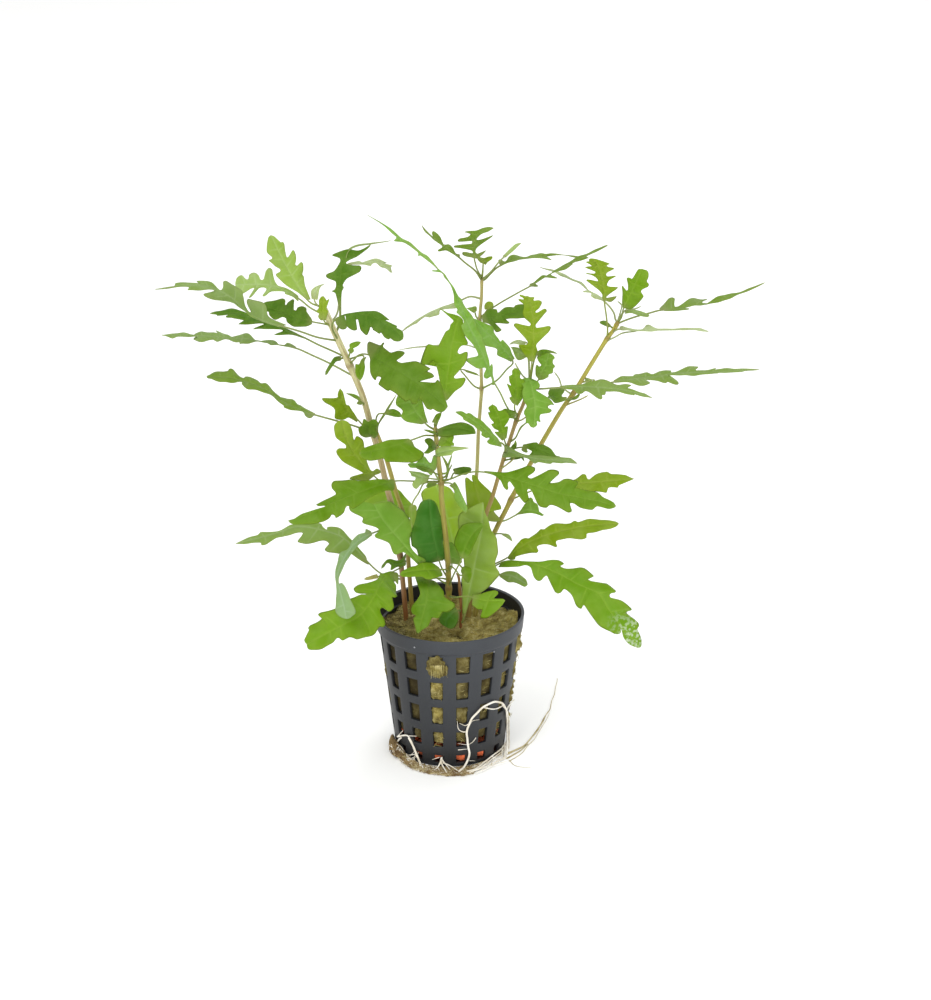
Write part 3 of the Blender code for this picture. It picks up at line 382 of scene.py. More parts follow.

# %% [markdown]
# ### Pot
# The pot is moulded from black recycled polypropylene: matt, with the faint unevenness of a cheap mould.
# Its lower half and its left side are darkened as painted shade, and its inside is a darker copy of the same
# plastic, painted shade as well.

# %% The pot material
def moulded_plastic(name, colour, lighter, shade_colour):
    material, tree, shader = new_material(name, 0.5, Specular_IOR_Level=0.45)
    where = add(tree, "ShaderNodeTexCoord").outputs["Object"]
    place = add(tree, "ShaderNodeSeparateXYZ", {0: where})
    # Painted shade: the lower half and the left side are darkened towards the shade colour
    damp = ranged(tree, place.outputs[2], 0.004, 0.047, 1.0, 0.0)
    left = ranged(tree, place.outputs[0], -0.022, -0.004, 1.0, 0.0)
    # Flow marks about 6 mm across, and a mould grain of 0.4 mm
    unshaded = mixed(tree, patches(tree, where, 160.0, 3.0), colour, lighter)
    skin = mixed(tree, damp, mixed(tree, left, unshaded, shade_colour), shade_colour)
    finish_skin(tree, shader, skin, patches(tree, where, 2500.0, 1.0), 0.0001, 0.3)
    return material


pot_outside = moulded_plastic("moulded_polypropylene", "2C2F34", "35393F", "1A1C1F")
pot_inside = moulded_plastic("moulded_polypropylene_in_shade", "111113", "18191B", "0E0E0F")
print(pot_outside.name, "and", pot_inside.name)

# %% [markdown]
# ### Rockwool, clay and roots
# Rockwool is spun stone: a mat of fine fibres, here stained olive by algae. The pebbles are fired clay, an
# orange red with darker pits. Young roots are white, those on the ground straw, and old ones tan.

# %% The other materials
def patchy_material(name, roughness, size, grain, depth, stops, darkened=None):
    """A dull surface with patches and a grain of these sizes in millimetres, darkened by an attribute."""
    material, tree, shader = new_material(name, roughness, Specular_IOR_Level=0.25)
    where = add(tree, "ShaderNodeTexCoord").outputs["Object"]
    spread = patches(tree, where, 1 / (size * MM), 5.0, 0.65)
    colour = add(tree, "ShaderNodeValToRGB", {0: spread}, stops=stops).outputs[0]
    if darkened:
        colour = mixed(tree, attribute(tree, darkened[0]), colour, darkened[1])
    finish_skin(tree, shader, colour, patches(tree, where, 1 / (grain * MM), 3.0), depth * MM, 0.8)
    return material


# The wool is darkened to 2E2610 by an attribute that is painted shade
wool_mat = patchy_material("rockwool_mat", 0.95, 2.5, 0.5, 0.5, [
    (0.3, "5A4A20"), (0.72, "C4B880"), (0.5, "988A4A"),
], ("damp", "2E2610"))
wool_fibre = patchy_material("rockwool_fibre", 0.9, 3.0, 0.3, 0.1, [
    (0.35, "84763C"), (0.7, "CEC390"), (0.52, "A69A5E"),
])
fired_clay = patchy_material("fired_clay", 0.85, 2.0, 0.6, 0.3, [(0.3, "CC5A34"), (0.6, "F58052")])
white_root = patchy_material("young_root", 0.6, 4.0, 0.6, 0.1, [(0.3, "CFC4AC"), (0.6, "EFEBE0")])
tan_root = patchy_material("old_root", 0.8, 5.0, 0.6, 0.2, [(0.3, "5E4628"), (0.65, "A08A60")])
straw_root = patchy_material("straw_root", 0.8, 5.0, 0.6, 0.2, [(0.3, "94865A"), (0.65, "C6BA90")])
# The felt is darkened to 4A3820 by an attribute that is painted shade
root_felt = patchy_material("root_felt", 0.95, 3.0, 0.5, 0.5, [(0.3, "5C4A2E"), (0.7, "9C8B66")],
                            ("damp", "4A3820"))
print("wool, clay and root materials made")

# %% [markdown]
# ## Stems
# A stem grows as a row of joints: at each node a pair of leaves leaves it, the stem swells and a brown ring
# stays. In section it is four-sided with soft corners. The routes and the heights of the nodes are those of
# the solids, so the skin lies where the solid is. Only the young stem is thinner than its solid.

# %% The stems' routes
# name: radius at the foot, radius at the top, places of the axis from the foot up, heights of the nodes
STEMS = {
    "stem_left": (0.8, 1.1, [-152,555,50, -163,680,40, -174,780,30, -198,930,20, -217,1005,10, -244,1120,0,
    -270,1210,-10, -303,1330,-20, -348,1438,-30, -395,1540,-40, -444,1650,-50], (78, 103, 121, 144)),
    "stem_left_short": (0.75, 0.75, [-130,570,90, -140,700,90, -156,890,80, -188,1000,70, -220,1110,60,
    -250,1190,50, -266,1225,40], (84,)),
    "stem_middle": (1.0, 0.75, [5,550,10, -2,630,10, -4,720,0, -11,820,-20, -22,920,-40, -28,980,-50,
    -30,1030,-60, -38,1100,-80, -46,1180,-100, -50,1230,-110], (66, 103)),
    "stem_tall": (0.75, 0.5, [40,580,80, 60,750,100, 80,920,130, 95,1060,150, 101,1200,170, 109,1310,180,
    112,1360,190, 109,1480,200, 106,1600,210, 112,1680,220, 113,1747,230], (136, 160, 174)),
    "stem_right": (0.8, 0.6, [65,565,30, 90,780,40, 125,910,40, 150,980,50, 185,1100,50, 205,1160,50,
    234,1248,60, 260,1310,60, 282,1385,70], (86, 113, 124.8)),
    "stem_far_right": (0.9, 0.7, [90,580,90, 120,750,110, 155,850,120, 200,940,130, 230,1000,140,
    285,1100,150, 335,1190,160, 395,1290,170, 435,1345,180, 490,1435,190, 552,1535,200, 575,1565,200,
    592,1598,200], (97, 134.5, 153.5, 159)),
    "stem_young": (0.5, 0.45, [39,540,-20, 40,600,-20, 36,660,-20, 32,700,-20, 22,715,-20], (66,)),
}
print(len(STEMS), "stems")
print(len(STEMS), "stems")

# %% A stem's line
STEM_FOOT = 46.8
DEPTH_STRETCH = 1.6
STEM_STEP = 0.6


def stem_line(name):
    """Points up the stem's axis."""
    places = in_mm(STEMS[name][2], 3)
    foot = places[0][2]
    route = [seen(across, up, foot + (depth - foot) * DEPTH_STRETCH) for across, up, depth in places]
    route[0][2] = STEM_FOOT
    return smooth_path(route, round(length_of(np.array(route)) / STEM_STEP))


lines = {name: stem_line(name) for name in STEMS}
print({name: round(length_of(line)) for name, line in lines.items()}, "mm long")

# %% [markdown]
# The tube's ring of corners is carried along the line. At each point it stands square to the line, and its
# radius takes in the four soft corners and the swelling at the nodes.

# %% A tube round a line
def tube_places(line, radii, sides, squareness=0.0):
    """Places of a tube's corners, row by row up the line, the last column on the first."""
    along = unit(np.gradient(line, axis=0))
    right = unit(np.cross(along, (0.0, 1.0, 0.0)) + 1e-9)
    front = np.cross(along, right)
    angles = np.linspace(0, 2 * math.pi, sides + 1)
    reach = radii[:, None] * (1 + squareness * np.cos(4 * angles))
    out = right[:, None] * np.cos(angles)[:, None] + front[:, None] * np.sin(angles)[:, None]
    return line[:, None] + out * reach[:, :, None]


STEM_SIDES = 20
SWELLING = 0.28
NODE_LENGTH = 1.5
SINK = 5.0


def make_stem(name):
    foot_radius, top_radius, _, nodes = STEMS[name]
    line = lines[name]
    # The stem goes on down into the wool
    sunk = line[0] - np.linspace(SINK, STEM_STEP, round(SINK / STEM_STEP))[:, None] * unit(line[1] - line[0])
    line = np.vstack([sunk, line])
    travelled = distances(line)
    radii = np.linspace(foot_radius, top_radius, len(line))
    ring = np.zeros(len(line))
    heights = on_sheet(line)[:, 1]
    for node in nodes:
        middle = travelled[np.argmin(abs(heights - node))]
        radii *= 1 + SWELLING * np.exp(-((travelled - middle) / NODE_LENGTH) ** 2)
        ring = np.maximum(ring, 0.6 * np.exp(-((travelled - middle - 0.3) / 0.8) ** 2))
    radii[-3:] *= (0.9, 0.65, 0.02)
    bm = new_bmesh("along", "round", "node", "share")
    angles = np.linspace(0, 2 * math.pi, STEM_SIDES + 1)
    lay_grid(bm, tube_places(line, radii, STEM_SIDES, 0.07), along=travelled[:, None], node=ring[:, None],
             share=(travelled / travelled[-1])[:, None], round=abs(angles[None] - math.pi))
    close_up(bm)
    return piece_from(bm, name + "_skin", "stem", stem_barks[name], stands_for=[name])


stems = [make_stem(name) for name in STEMS]
print(len(stems), "stems,", sum(len(stem.data.polygons) for stem in stems), "faces")

# %% [markdown]
# ## Leaves
# A leaf of this plant is long and deeply cut: narrow lobes stand on both sides of the midrib and point a
# little forward. Each leaf below says how high it leaves its stem, the places of its midrib (across, up and
# depth from the stem), how far its upper side is turned from the viewer up to the sky, in degrees, and the
# places of its two edges (across and up, from the petiole to the tip). Places are in tenths of a
# millimetre. An uncut leaf has half its width, in millimetres, instead of edges. Then come its tone, half
# the width of its petiole and the share of its length from which it is worn.

# %% A leaf's row
Leaf = namedtuple("Leaf", "stem height midrib turn edges tone petiole worn", defaults=["green", 0.24, 1])
LEAVES = {}


def grow(stem, leaves):
    LEAVES.update({name: Leaf(stem, *leaf) for name, leaf in leaves.items()})
    print(stem, "bears", ", ".join(leaves))


print("a leaf has:", *Leaf._fields)

# %% [markdown]
# The left stem's upper leaves arch out to the left, the longest of them seen nearly edge on.

# %% The left stem's upper leaves
grow("stem_left", {
    "leaf_left_1": (164.5, [-485,1660,10, -515,1695,20, -555,1760,40, -593,1830,70, -625,1897,90], 22,
    ([-505,1675, -580,1730, -602,1751, -607,1762, -592,1773, -613,1783, -633,1806, -620,1819, -639,1840,
    -635,1887], [-486,1671, -504,1718, -507,1755, -513,1762, -511,1780, -518,1799, -533,1788, -540,1792,
    -537,1809, -539,1827, -549,1841, -561,1820, -570,1821, -576,1863, -583,1873, -591,1871, -613,1892]),
    "light"),
    "leaf_left_2": (161, [-485,1642,30, -520,1670,40, -560,1695,50, -600,1713,50, -640,1723,40,
    -680,1725,30, -720,1724,20, -750,1722,10], 30, ([-530,1685, -570,1713, -613,1731, -623,1772,
    -634,1780, -645,1768, -652,1741, -662,1741, -669,1758, -682,1770, -698,1765, -706,1745, -726,1756,
    -743,1748, -749,1735], [-529,1664, -549,1681, -576,1689, -578,1698, -624,1698, -653,1682, -639,1708,
    -665,1712, -700,1677, -682,1708, -695,1707, -730,1687, -743,1704]), "pale"),
    "leaf_left_3": (153, [-460,1540,-40, -523,1561,-70, -600,1583,-100, -660,1600,-130, -718,1635,-160,
    -768,1681,-180, -829,1713,-200, -900,1723,-220, -970,1719,-240, -1035,1708,-260], 40, ([-570,1583,
    -634,1612, -657,1656, -696,1677, -704,1670, -703,1650, -694,1628, -711,1644, -729,1684, -731,1701,
    -745,1718, -778,1738, -789,1735, -790,1718, -802,1705, -832,1728, -859,1736, -885,1737, -874,1729,
    -920,1733, -960,1727, -963,1719, -990,1716], [-600,1576, -650,1592, -684,1608, -758,1655, -842,1677,
    -858,1692, -826,1697, -829,1703, -917,1706, -909,1713, -923,1716, -1004,1708]), "sage"),
    "leaf_left_4": (147, [-410,1493,30, -460,1515,40, -510,1540,50, -580,1570,60, -660,1600,70,
    -740,1623,80, -841,1623,90], 45, ([-560,1566, -745,1637, -768,1640, -812,1632], [-493,1530, -549,1547,
    -613,1551, -583,1560, -610,1568, -661,1570, -688,1566, -650,1577, -654,1585, -740,1586, -718,1598,
    -762,1608, -783,1609, -762,1617, -812,1614, -817,1619]), "dark"),
    "leaf_left_5": (158, [-450,1588,30, -477,1593,40, -540,1610,70, -600,1632,100, -657,1654,120], 10,
    ([-483,1605, -501,1630, -503,1643, -518,1650, -532,1645, -536,1633, -543,1635, -536,1661, -544,1668,
    -566,1662, -576,1654, -577,1672, -589,1677, -644,1662], [-482,1585, -505,1576, -538,1572, -570,1593,
    -574,1606, -588,1610, -613,1602, -628,1613, -632,1626, -644,1629, -652,1643]), "dark"),
    "leaf_left_6": (140.5, [-415,1448,30, -480,1478,50, -535,1502,70, -600,1516,90, -700,1534,120,
    -800,1541,140, -900,1547,160, -1011,1548,180], 60, ([-536,1505, -553,1517, -568,1519, -578,1511,
    -598,1516, -620,1533, -671,1527, -698,1544, -725,1551, -762,1542, -778,1556, -799,1562, -818,1561,
    -810,1550, -869,1560, -890,1558, -895,1550, -930,1554, -980,1551], [-546,1502, -598,1513, -625,1513,
    -640,1520, -735,1519, -736,1525, -812,1524, -829,1531, -896,1527, -883,1536, -950,1542, -970,1539,
    -997,1544]), "sage"),
    "leaf_left_7": (155, [-385,1600,20, -385,1660,30, -383,1720,40, -380,1770,50, -370,1810,60,
    -335,1830,80, -273,1867,100], 15, ([-390,1654, -400,1693, -412,1700, -403,1706, -398,1718, -400,1735,
    -430,1753, -403,1773, -383,1805, -386,1817, -409,1831, -352,1846, -326,1840, -302,1846, -283,1860],
    [-380,1654, -376,1698, -369,1713, -373,1721, -366,1735, -356,1746, -316,1767, -309,1782, -316,1791,
    -356,1794, -361,1802, -322,1822, -282,1853]), "dark"),
    "left_curl": (155, [-384,1605,30, -382,1720,45, -370,1800,60, -356,1842,80, -328,1859,90,
    -275,1868,110, -203,1879,130], 40, 0.5, "sage"),
    "leaf_left_8": (159, [-393,1630,60, -384,1720,100, -361,1792,130, -315,1799,140, -265,1805,150,
    -230,1790,160, -199,1765,170], 45, ([-342,1802, -315,1805, -305,1802, -262,1815, -238,1814, -213,1805,
    -229,1800, -204,1789, -206,1782], [-352,1789, -339,1794, -302,1794, -275,1789, -271,1795, -258,1798,
    -245,1785, -221,1780, -206,1766]), "faded"),
    "leaf_left_9": (152, [-412,1573,-30, -398,1603,-40, -365,1620,-50, -310,1622,-60, -250,1605,-80,
    -200,1575,-90, -162,1533,-100], 25, ([-383,1614, -356,1624, -322,1629, -262,1629, -209,1603,
    -225,1600, -182,1579, -185,1573, -167,1561, -161,1544], [-400,1594, -394,1580, -383,1568, -369,1567,
    -360,1574, -360,1592, -367,1613, -361,1613, -355,1574, -342,1561, -329,1558, -321,1564, -328,1600,
    -321,1602, -314,1570, -302,1555, -290,1550, -279,1579, -272,1575, -267,1563, -255,1550, -246,1545,
    -240,1551, -228,1539, -214,1532, -206,1535, -194,1528, -174,1526]), "dark"),
    "left_heart": (157.5, [-438,1595,-20, -443,1630,-20, -442,1684,-20], 10, ([-450,1598, -460,1610,
    -457,1623, -466,1630, -457,1644, -457,1667, -450,1680], [-433,1598, -425,1630, -431,1640, -420,1673,
    -428,1666, -434,1675]), "yellow_green"),
    "left_bud": (163, [-470,1660,-10, -472,1690,-10, -460,1715,-10, -435,1728,-10], 20, ([-483,1674,
    -485,1698, -474,1712, -455,1722], [-461,1671, -452,1713]), "faded"),
})

# %% [markdown]
# The lower leaves of the two left stems.

# %% The left stems' lower leaves
grow("stem_left", {
    "leaf_left_10": (144.5, [-333,1463,-30, -322,1475,-30, -300,1481,-40, -270,1473,-60, -220,1445,-90,
    -160,1410,-120, -100,1370,-140, -50,1330,-170, -10,1290,-190], 15, ([-288,1484, -288,1516, -280,1525,
    -244,1512, -233,1520, -226,1517, -229,1502, -209,1486, -202,1485, -182,1494, -165,1493, -158,1486,
    -169,1472, -185,1464, -182,1456, -169,1451, -148,1454, -115,1452, -66,1430, -78,1425, -75,1420,
    -61,1414, -54,1403, -64,1397, -102,1390, -102,1384, -48,1383, -42,1390, -30,1375, -6,1298],
    [-278,1461, -280,1420, -273,1403, -261,1391, -256,1401, -246,1402, -238,1395, -239,1385, -249,1379,
    -248,1373, -222,1351, -212,1347, -207,1351, -189,1343, -155,1315, -140,1320, -130,1306, -112,1305,
    -102,1321, -81,1292, -66,1286, -58,1289, -41,1280, -21,1279]), "dark"),
    "leaf_left_11": (103, [-245,1038,-40, -285,1075,-70, -320,1115,-90, -355,1170,-110, -378,1250,-130],
    20, ([-290,1036, -349,1042, -344,1052, -322,1053, -305,1064, -369,1101, -387,1122, -394,1140,
    -386,1152, -366,1152, -366,1164, -396,1186, -402,1210, -401,1229, -392,1244], [-241,1066, -254,1080,
    -264,1070, -277,1077, -293,1126, -305,1181, -317,1191, -323,1189, -329,1177, -337,1189, -341,1215,
    -355,1243]), "yellow_green"),
})
grow("stem_left_short", {
    "leaf_left_12": (121.5, [-295,1226,-10, -320,1250,-20, -350,1280,-30, -373,1315,-40, -383,1361,-50],
    20, ([-325,1242, -355,1258, -370,1250, -398,1254, -401,1288, -432,1307, -445,1323, -432,1327,
    -397,1322, -392,1342], [-320,1252, -349,1299, -362,1305, -372,1346]), "yellow_green"),
})
grow("stem_left", {
    "leaf_left_13": (121, [-330,1230,-20, -400,1250,-30, -455,1265,-30, -503,1280,-30, -576,1313,-20,
    -644,1359,0, -700,1383,10, -789,1401,30, -851,1400,40], 58, ([-469,1272, -519,1300, -533,1303,
    -553,1320, -576,1330, -592,1332, -624,1362, -644,1374, -661,1377, -674,1391, -694,1401, -714,1406,
    -721,1401, -755,1419, -770,1420, -776,1416, -805,1420, -832,1417, -846,1409], [-475,1265, -484,1256,
    -496,1254, -508,1260, -511,1271, -518,1278, -580,1295, -580,1300, -657,1351, -714,1361, -727,1367,
    -728,1377, -839,1391]), "olive"),
    "leaf_left_14": (69, [-220,705,30, -254,723,40, -295,763,50, -340,810,60, -386,845,70, -466,869,80,
    -540,876,90, -601,856,100, -670,836,105, -751,817,110], 30, ([-293,773, -365,857, -386,871, -413,876,
    -428,874, -430,866, -442,875, -451,889, -473,893, -554,883, -601,861, -658,857, -672,847, -699,842,
    -719,832], [-281,743, -305,754, -338,777, -360,785, -385,780, -422,784, -436,796, -432,807, -422,818,
    -436,827, -456,825, -500,812, -524,817, -532,827, -513,852, -537,854, -581,839, -608,836, -641,815,
    -658,812, -662,820, -719,815]), "sage"),
    "leaf_left_15": (86, [-220,872,0, -250,862,-10, -295,843,-30, -335,814,-60, -367,770,-100,
    -388,723,-140, -393,690,-170, -383,650,-200, -370,600,-230, -360,553,-260], 30, ([-274,860, -293,868,
    -296,856, -321,848, -340,831, -355,799, -385,780, -399,725, -400,700, -397,674, -398,585, -385,562],
    [-271,846, -321,808, -335,792, -355,764, -387,700, -387,678, -376,679, -362,664, -338,600, -332,575,
    -345,557]), "silver"),
})
grow("stem_left_short", {
    "leaf_left_16": (84, [-165,870,30, -185,930,50, -205,990,60, -220,1040,70], 20, ([-200,890, -260,920,
    -300,950, -295,980, -235,1035], [-145,900, -128,947, -136,964, -173,1001, -195,1015, -205,1035]),
    "lime"),
})
grow("stem_left", {
    "leaf_left_17": (73, [-170,733,-30, -204,715,-60, -227,698,-90, -246,668,-130, -273,618,-170,
    -315,566,-200, -372,533,-220, -450,493,-220, -500,464,-220], 12, ([-210,720, -242,711, -250,694,
    -264,686, -315,676, -330,669, -335,661, -325,651, -292,643, -298,637, -347,624, -400,588, -446,577,
    -459,568, -449,554, -487,533, -494,523, -491,513, -508,479], [-180,713, -180,673, -190,684, -196,679,
    -182,650, -181,636, -190,626, -200,626, -195,594, -200,580, -214,575, -240,593, -227,557, -224,537,
    -231,526, -245,525, -259,503, -271,493, -291,486, -322,481, -338,489, -352,490, -374,478, -387,486,
    -396,485, -409,468, -449,447, -493,446]), "bright"),
    "left_tan": (70, [-200,710,20, -250,703,30, -300,692,40], 50, ([-254,710, -291,700], [-247,695,
    -290,690]), "tan"),
    "left_dark_curl": (76, [-155,755,-20, -184,748,-40, -215,754,-50, -239,728,-60], 30, ([-155,777,
    -168,763, -184,759, -207,764, -222,759, -237,740], [-153,742, -184,734, -207,723, -204,738, -217,749,
    -228,737]), "dark"),
    "left_small_1": (147, [-374,1467,0, -400,1460,-20, -415,1440,-30, -435,1406,-40], 20, ([-380,1474,
    -405,1468, -434,1420], [-381,1457, -398,1452, -427,1411]), "dark"),
    "left_small_2": (146, [-350,1480,-10, -345,1503,-20, -310,1522,-30], 10, ([-357,1494, -350,1501,
    -350,1515, -334,1523, -319,1525], [-344,1481, -334,1491, -338,1499, -320,1509]), "bright"),
    "left_small_3": (146, [-304,1476,-10, -303,1455,-20, -313,1420,-30, -312,1387,-40], 10, ([-310,1460,
    -317,1445, -329,1445, -330,1420, -325,1400], [-290,1472, -297,1454, -295,1434, -302,1403])),
    "left_small_4": (130, [-308,1313,-20, -335,1333,-30, -363,1344,-40], 20, ([-317,1332, -337,1341],
    [-306,1303, -325,1306, -318,1317, -337,1328])),
})
grow("stem_left_short", {
    "left_apex_1": (118.5, [-275,1195,-70, -285,1220,-80, -273,1250,-90], 20, ([-295,1188, -319,1203,
    -322,1226, -307,1233, -300,1252, -286,1242], [-264,1184, -249,1198, -256,1216, -247,1236, -256,1253]),
    "dark"),
    "left_apex_2": (120, [-250,1235,-20, -220,1283,-30, -186,1340,-30], 30, 0.42, "olive"),
    "left_apex_3": (121, [-258,1248,-30, -250,1270,-40, -228,1273,-40, -195,1275,-50, -169,1260,-60], 20,
    ([-220,1284, -196,1288, -172,1275], [-225,1268, -185,1260])),
})

# %% [markdown]
# The middle stem is short. Its leaves fan out in front, and the broad lower ones are hardly cut.

# %% The middle stem's leaves
grow("stem_middle", {
    "leaf_middle_1": (122.5, [-40,1248,10, -28,1280,10, -18,1320,20, -10,1380,20, 0,1450,30, 10,1520,40,
    23,1580,50, 33,1614,60], 5, ([-23,1335, -41,1420, -55,1457, -71,1450, -79,1442, -103,1450, -81,1509,
    -67,1515, -55,1496, -44,1499, -15,1558, -2,1568, 3,1584, 13,1598, -34,1640, -10,1626, 15,1620],
    [-9,1317, 20,1350, 46,1370, 57,1390, 52,1399, 23,1395, 16,1401, 50,1440, 62,1467, 63,1486, 54,1488,
    42,1481, 30,1485, 33,1498, 43,1509, 65,1517, 54,1545, 47,1600]), "bright"),
    "leaf_middle_2": (121.5, [-78,1232,0, -115,1275,0, -140,1315,10, -165,1350,10], 20, ([-98,1234,
    -148,1243, -172,1260, -167,1278, -187,1302, -179,1336], [-75,1240, -98,1313, -120,1345]), "fresh"),
    "middle_up": (122.3, [-53,1236,-10, -48,1253,-10, -31,1276,-20], 20, ([-62,1242, -47,1269], [-44,1234,
    -29,1265])),
    "leaf_middle_3": (119.5, [-69,1196,-20, -90,1195,-30, -127,1182,-40, -180,1164,-60, -240,1148,-80,
    -316,1134,-100], 20, ([-145,1185, -201,1180, -245,1171, -302,1151], [-129,1174, -121,1156, -92,1128,
    -105,1106, -132,1100, -217,1104, -233,1117, -280,1104, -303,1114, -313,1126])),
    "leaf_middle_4": (121, [-42,1216,-20, -10,1220,-30, 40,1220,-40, 92,1207,-50], 15, ([-38,1220,
    -5,1233, 32,1241, 56,1239, 79,1229, 88,1218], [-35,1192, 90,1200]), "dark"),
    "middle_bract": (119.5, [-37,1195,-30, -15,1183,-40, 16,1159,-50], 20, ([-20,1205, 14,1192, 11,1173,
    16,1168], [-38,1175, -35,1155, -11,1158]), "bright"),
    "middle_knob": (116, [-44,1160,-20, -65,1160,-40, -91,1134,-60], 20, ([-50,1169, -60,1181, -72,1187,
    -85,1184, -85,1175, -70,1163, -74,1152], [-45,1150, -72,1131]), "dark"),
    "middle_bud": (120.2, [-46,1202,-20, -65,1209,-30, -91,1216,-40], 20, 0.5),
    "middle_grey": (112.5, [-45,1124,-30, -30,1137,-50, 15,1146,-70, 72,1152,-80], 10, ([-50,1140,
    -38,1153, -15,1159, 50,1155], [-65,1118, 5,1126, 16,1139, 46,1146]), "pale"),
    "middle_teal": (103.8, [-40,1045,-20, -60,1075,-40, -90,1096,-60, -147,1095,-80], 20, ([-46,1080,
    -45,1124, -57,1126, -67,1100, -90,1125, -116,1100, -132,1101], [-65,1055, -90,1076, -136,1084]),
    "blue_green"),
    "middle_shade": (105.5, [-54,1065,-40, -80,1077,-60, -118,1083,-80], 15, ([-62,1075, -82,1084,
    -104,1087], [-66,1064, -92,1069, -110,1077]), "dark"),
    "middle_faded": (104.2, [-50,1043,-30, -85,1048,-50, -110,1054,-60, -146,1073,-80], 20, ([-68,1056,
    -96,1066, -126,1070], [-75,1037, -100,1022, -112,1010, -127,1026, -119,1046, -135,1053, -136,1064]),
    "pale"),
    "middle_scale": (103.4, [-47,1030,20, -63,1025,20, -83,1017,20], 20, ([-52,1038, -70,1034, -80,1023],
    [-47,1021, -74,1012]), "dark"),
    "leaf_middle_5": (103.3, [-80,1035,-20, -130,1036,-30, -180,1037,-40, -220,1030,-60, -280,1010,-80,
    -340,987,-95, -420,955,-110, -490,923,-130, -565,898,-140], 15, ([-195,1042, -314,1039, -352,1043,
    -401,1036, -413,1024, -412,1008, -399,989, -466,957, -457,950, -435,948, -515,922, -545,904],
    [-191,1024, -194,1006, -203,1001, -228,999, -277,980, -336,936, -358,948, -371,926, -396,907,
    -403,916, -412,918, -420,906, -448,888, -540,884, -557,888])),
    "leaf_middle_6": (103.8, [2,1043,-20, 29,1054,-30, 55,1063,-40, 95,1069,-50, 150,1063,-60,
    200,1050,-80, 278,1027,-90, 329,1010,-100, 379,993,-110, 446,980,-120, 497,970,-130, 583,949,-140],
    15, ([120,1072, 197,1066, 238,1072, 271,1091, 281,1092, 298,1087, 300,1077, 292,1065, 275,1055,
    276,1049, 288,1046, 345,1072, 369,1072, 384,1065, 382,1054, 352,1033, 355,1030, 382,1035, 399,1044,
    416,1046, 433,1042, 448,1035, 450,1023, 443,1010, 517,998, 539,980, 574,961], [130,1063, 154,1056,
    170,1046, 180,1034, 187,1017, 197,1008, 204,1014, 204,1027, 211,1034, 228,1009, 234,990, 261,959,
    271,963, 278,976, 271,1000, 278,1008, 288,1000, 307,959, 318,946, 339,939, 355,949, 379,944, 413,925,
    426,927, 428,936, 419,953, 424,960, 436,958, 456,943, 473,936, 500,934, 517,946, 557,939, 578,943])),
    "middle_leaflet": (103.3, [2,1043,0, 15,1064,-10, 45,1072,-20, 78,1077,-30], 15, ([12,1079, 42,1086,
    72,1084], [18,1059, 59,1057, 71,1064]), "dark"),
    "middle_twig_1": (103.4, [-15,1038,10, -5,1068,10, 2,1083,10, 10,1097,10], 20, 0.35, "olive"),
    "middle_twig_2": (104.6, [-14,1052,0, -7,1080,0, -15,1105,-10, -29,1127,-10], 10, 0.5, "olive"),
    "middle_twig_3": (106, [-10,1065,0, -4,1090,0, 9,1130,0], 10, 0.4, "fresh"),
    "middle_fold": (103, [5,1028,10, 24,1008,0, 42,976,-10, 54,946,-20, 57,924,-30], 15, ([19,1033,
    32,1014, 63,943], [-1,1021, 12,1009, 17,997, 16,982, 24,960, 37,940]), "blue_green"),
    "middle_hook": (103.2, [-70,1032,-30, -92,1026,-50, -108,995,-60, -129,960,-60, -134,915,-60,
    -132,870,-50], 20, ([-139,950, -144,936, -138,890], [-120,953, -112,942, -123,890]), "olive"),
    "leaf_middle_7": (67, [-55,705,-30, -105,752,-50, -173,829,-60, -229,895,-50, -265,955,-50], 20,
    ([-95,730, -160,786, -195,780, -210,819, -257,836, -263,846, -248,862, -258,873, -295,884, -306,892,
    -302,907, -333,923, -346,934, -345,950, -310,965], [-85,760, -115,780, -136,810, -132,878, -145,910,
    -170,940, -210,965]), "fresh"),
    "leaf_middle_8": (69, [-30,740,0, -46,800,-10, -62,870,-20, -72,974,-30], 20, ([-72,748, -99,753,
    -112,777, -117,797, -134,814, -126,915, -96,960], [-21,760, -19,840, -24,880, -32,920, -41,946,
    -53,965]), "deep"),
    "leaf_middle_9": (66.5, [15,710,-60, 38,755,-80, 58,810,-80, 86,856,-80, 124,888,-70], 20, ([42,762,
    16,814, 22,849, 32,869, 49,883, 69,889, 96,891], [59,766, 76,787, 116,875])),
    "leaf_middle_10": (71.5, [-11,726,-30, -30,727,-40, -72,726,-60, -139,720,-80, -175,709,-90], 35,
    ([-38,736, -58,748, -95,750, -119,739, -136,737, -166,721], [-25,704, -62,691, -79,693, -97,702,
    -163,700]), "bright"),
    "leaf_middle_11": (69, [-32,696,-20, -65,692,-40, -75,660,-70, -83,610,-90, -96,555,-110,
    -109,502,-130], 15, ([-85,704, -118,700, -117,686, -103,645, -112,625, -133,599, -136,582, -129,570,
    -119,565, -126,552, -116,508], [-58,689, -45,683, -32,666, -20,649, -15,629, 16,609, 22,599, 16,589,
    -5,578, -25,577, -38,557, -60,558, -75,528, -96,514])),
    "leaf_middle_12": (63.5, [16,629,-40, 55,633,-50, 85,628,-60, 120,618,-70, 160,617,-80, 195,618,-80],
    20, ([83,639, 110,641, 157,653, 169,649, 167,639, 147,628, 186,624], [80,613, 79,602, 96,589, 115,583,
    106,562, 116,556, 133,558, 170,585, 187,605]), "bright"),
    "middle_blade": (71.5, [8,735,20, 6,760,40, -2,795,50, -6,820,50], 10, ([-14,752, -24,775, -26,795,
    -22,814], [32,743, 44,756, 20,806, 9,821]), "fresh"),
    "middle_blade_2": (71, [3,738,-20, 22,724,-40, 37,706,-50, 55,712,-60, 78,719,-70], 15, ([40,723,
    52,738, 74,732], [44,701, 54,686, 65,680, 78,700])),
})

# %% [markdown]
# The tall stem stands at the back, nearly bare, with fine narrow leaves at its top.

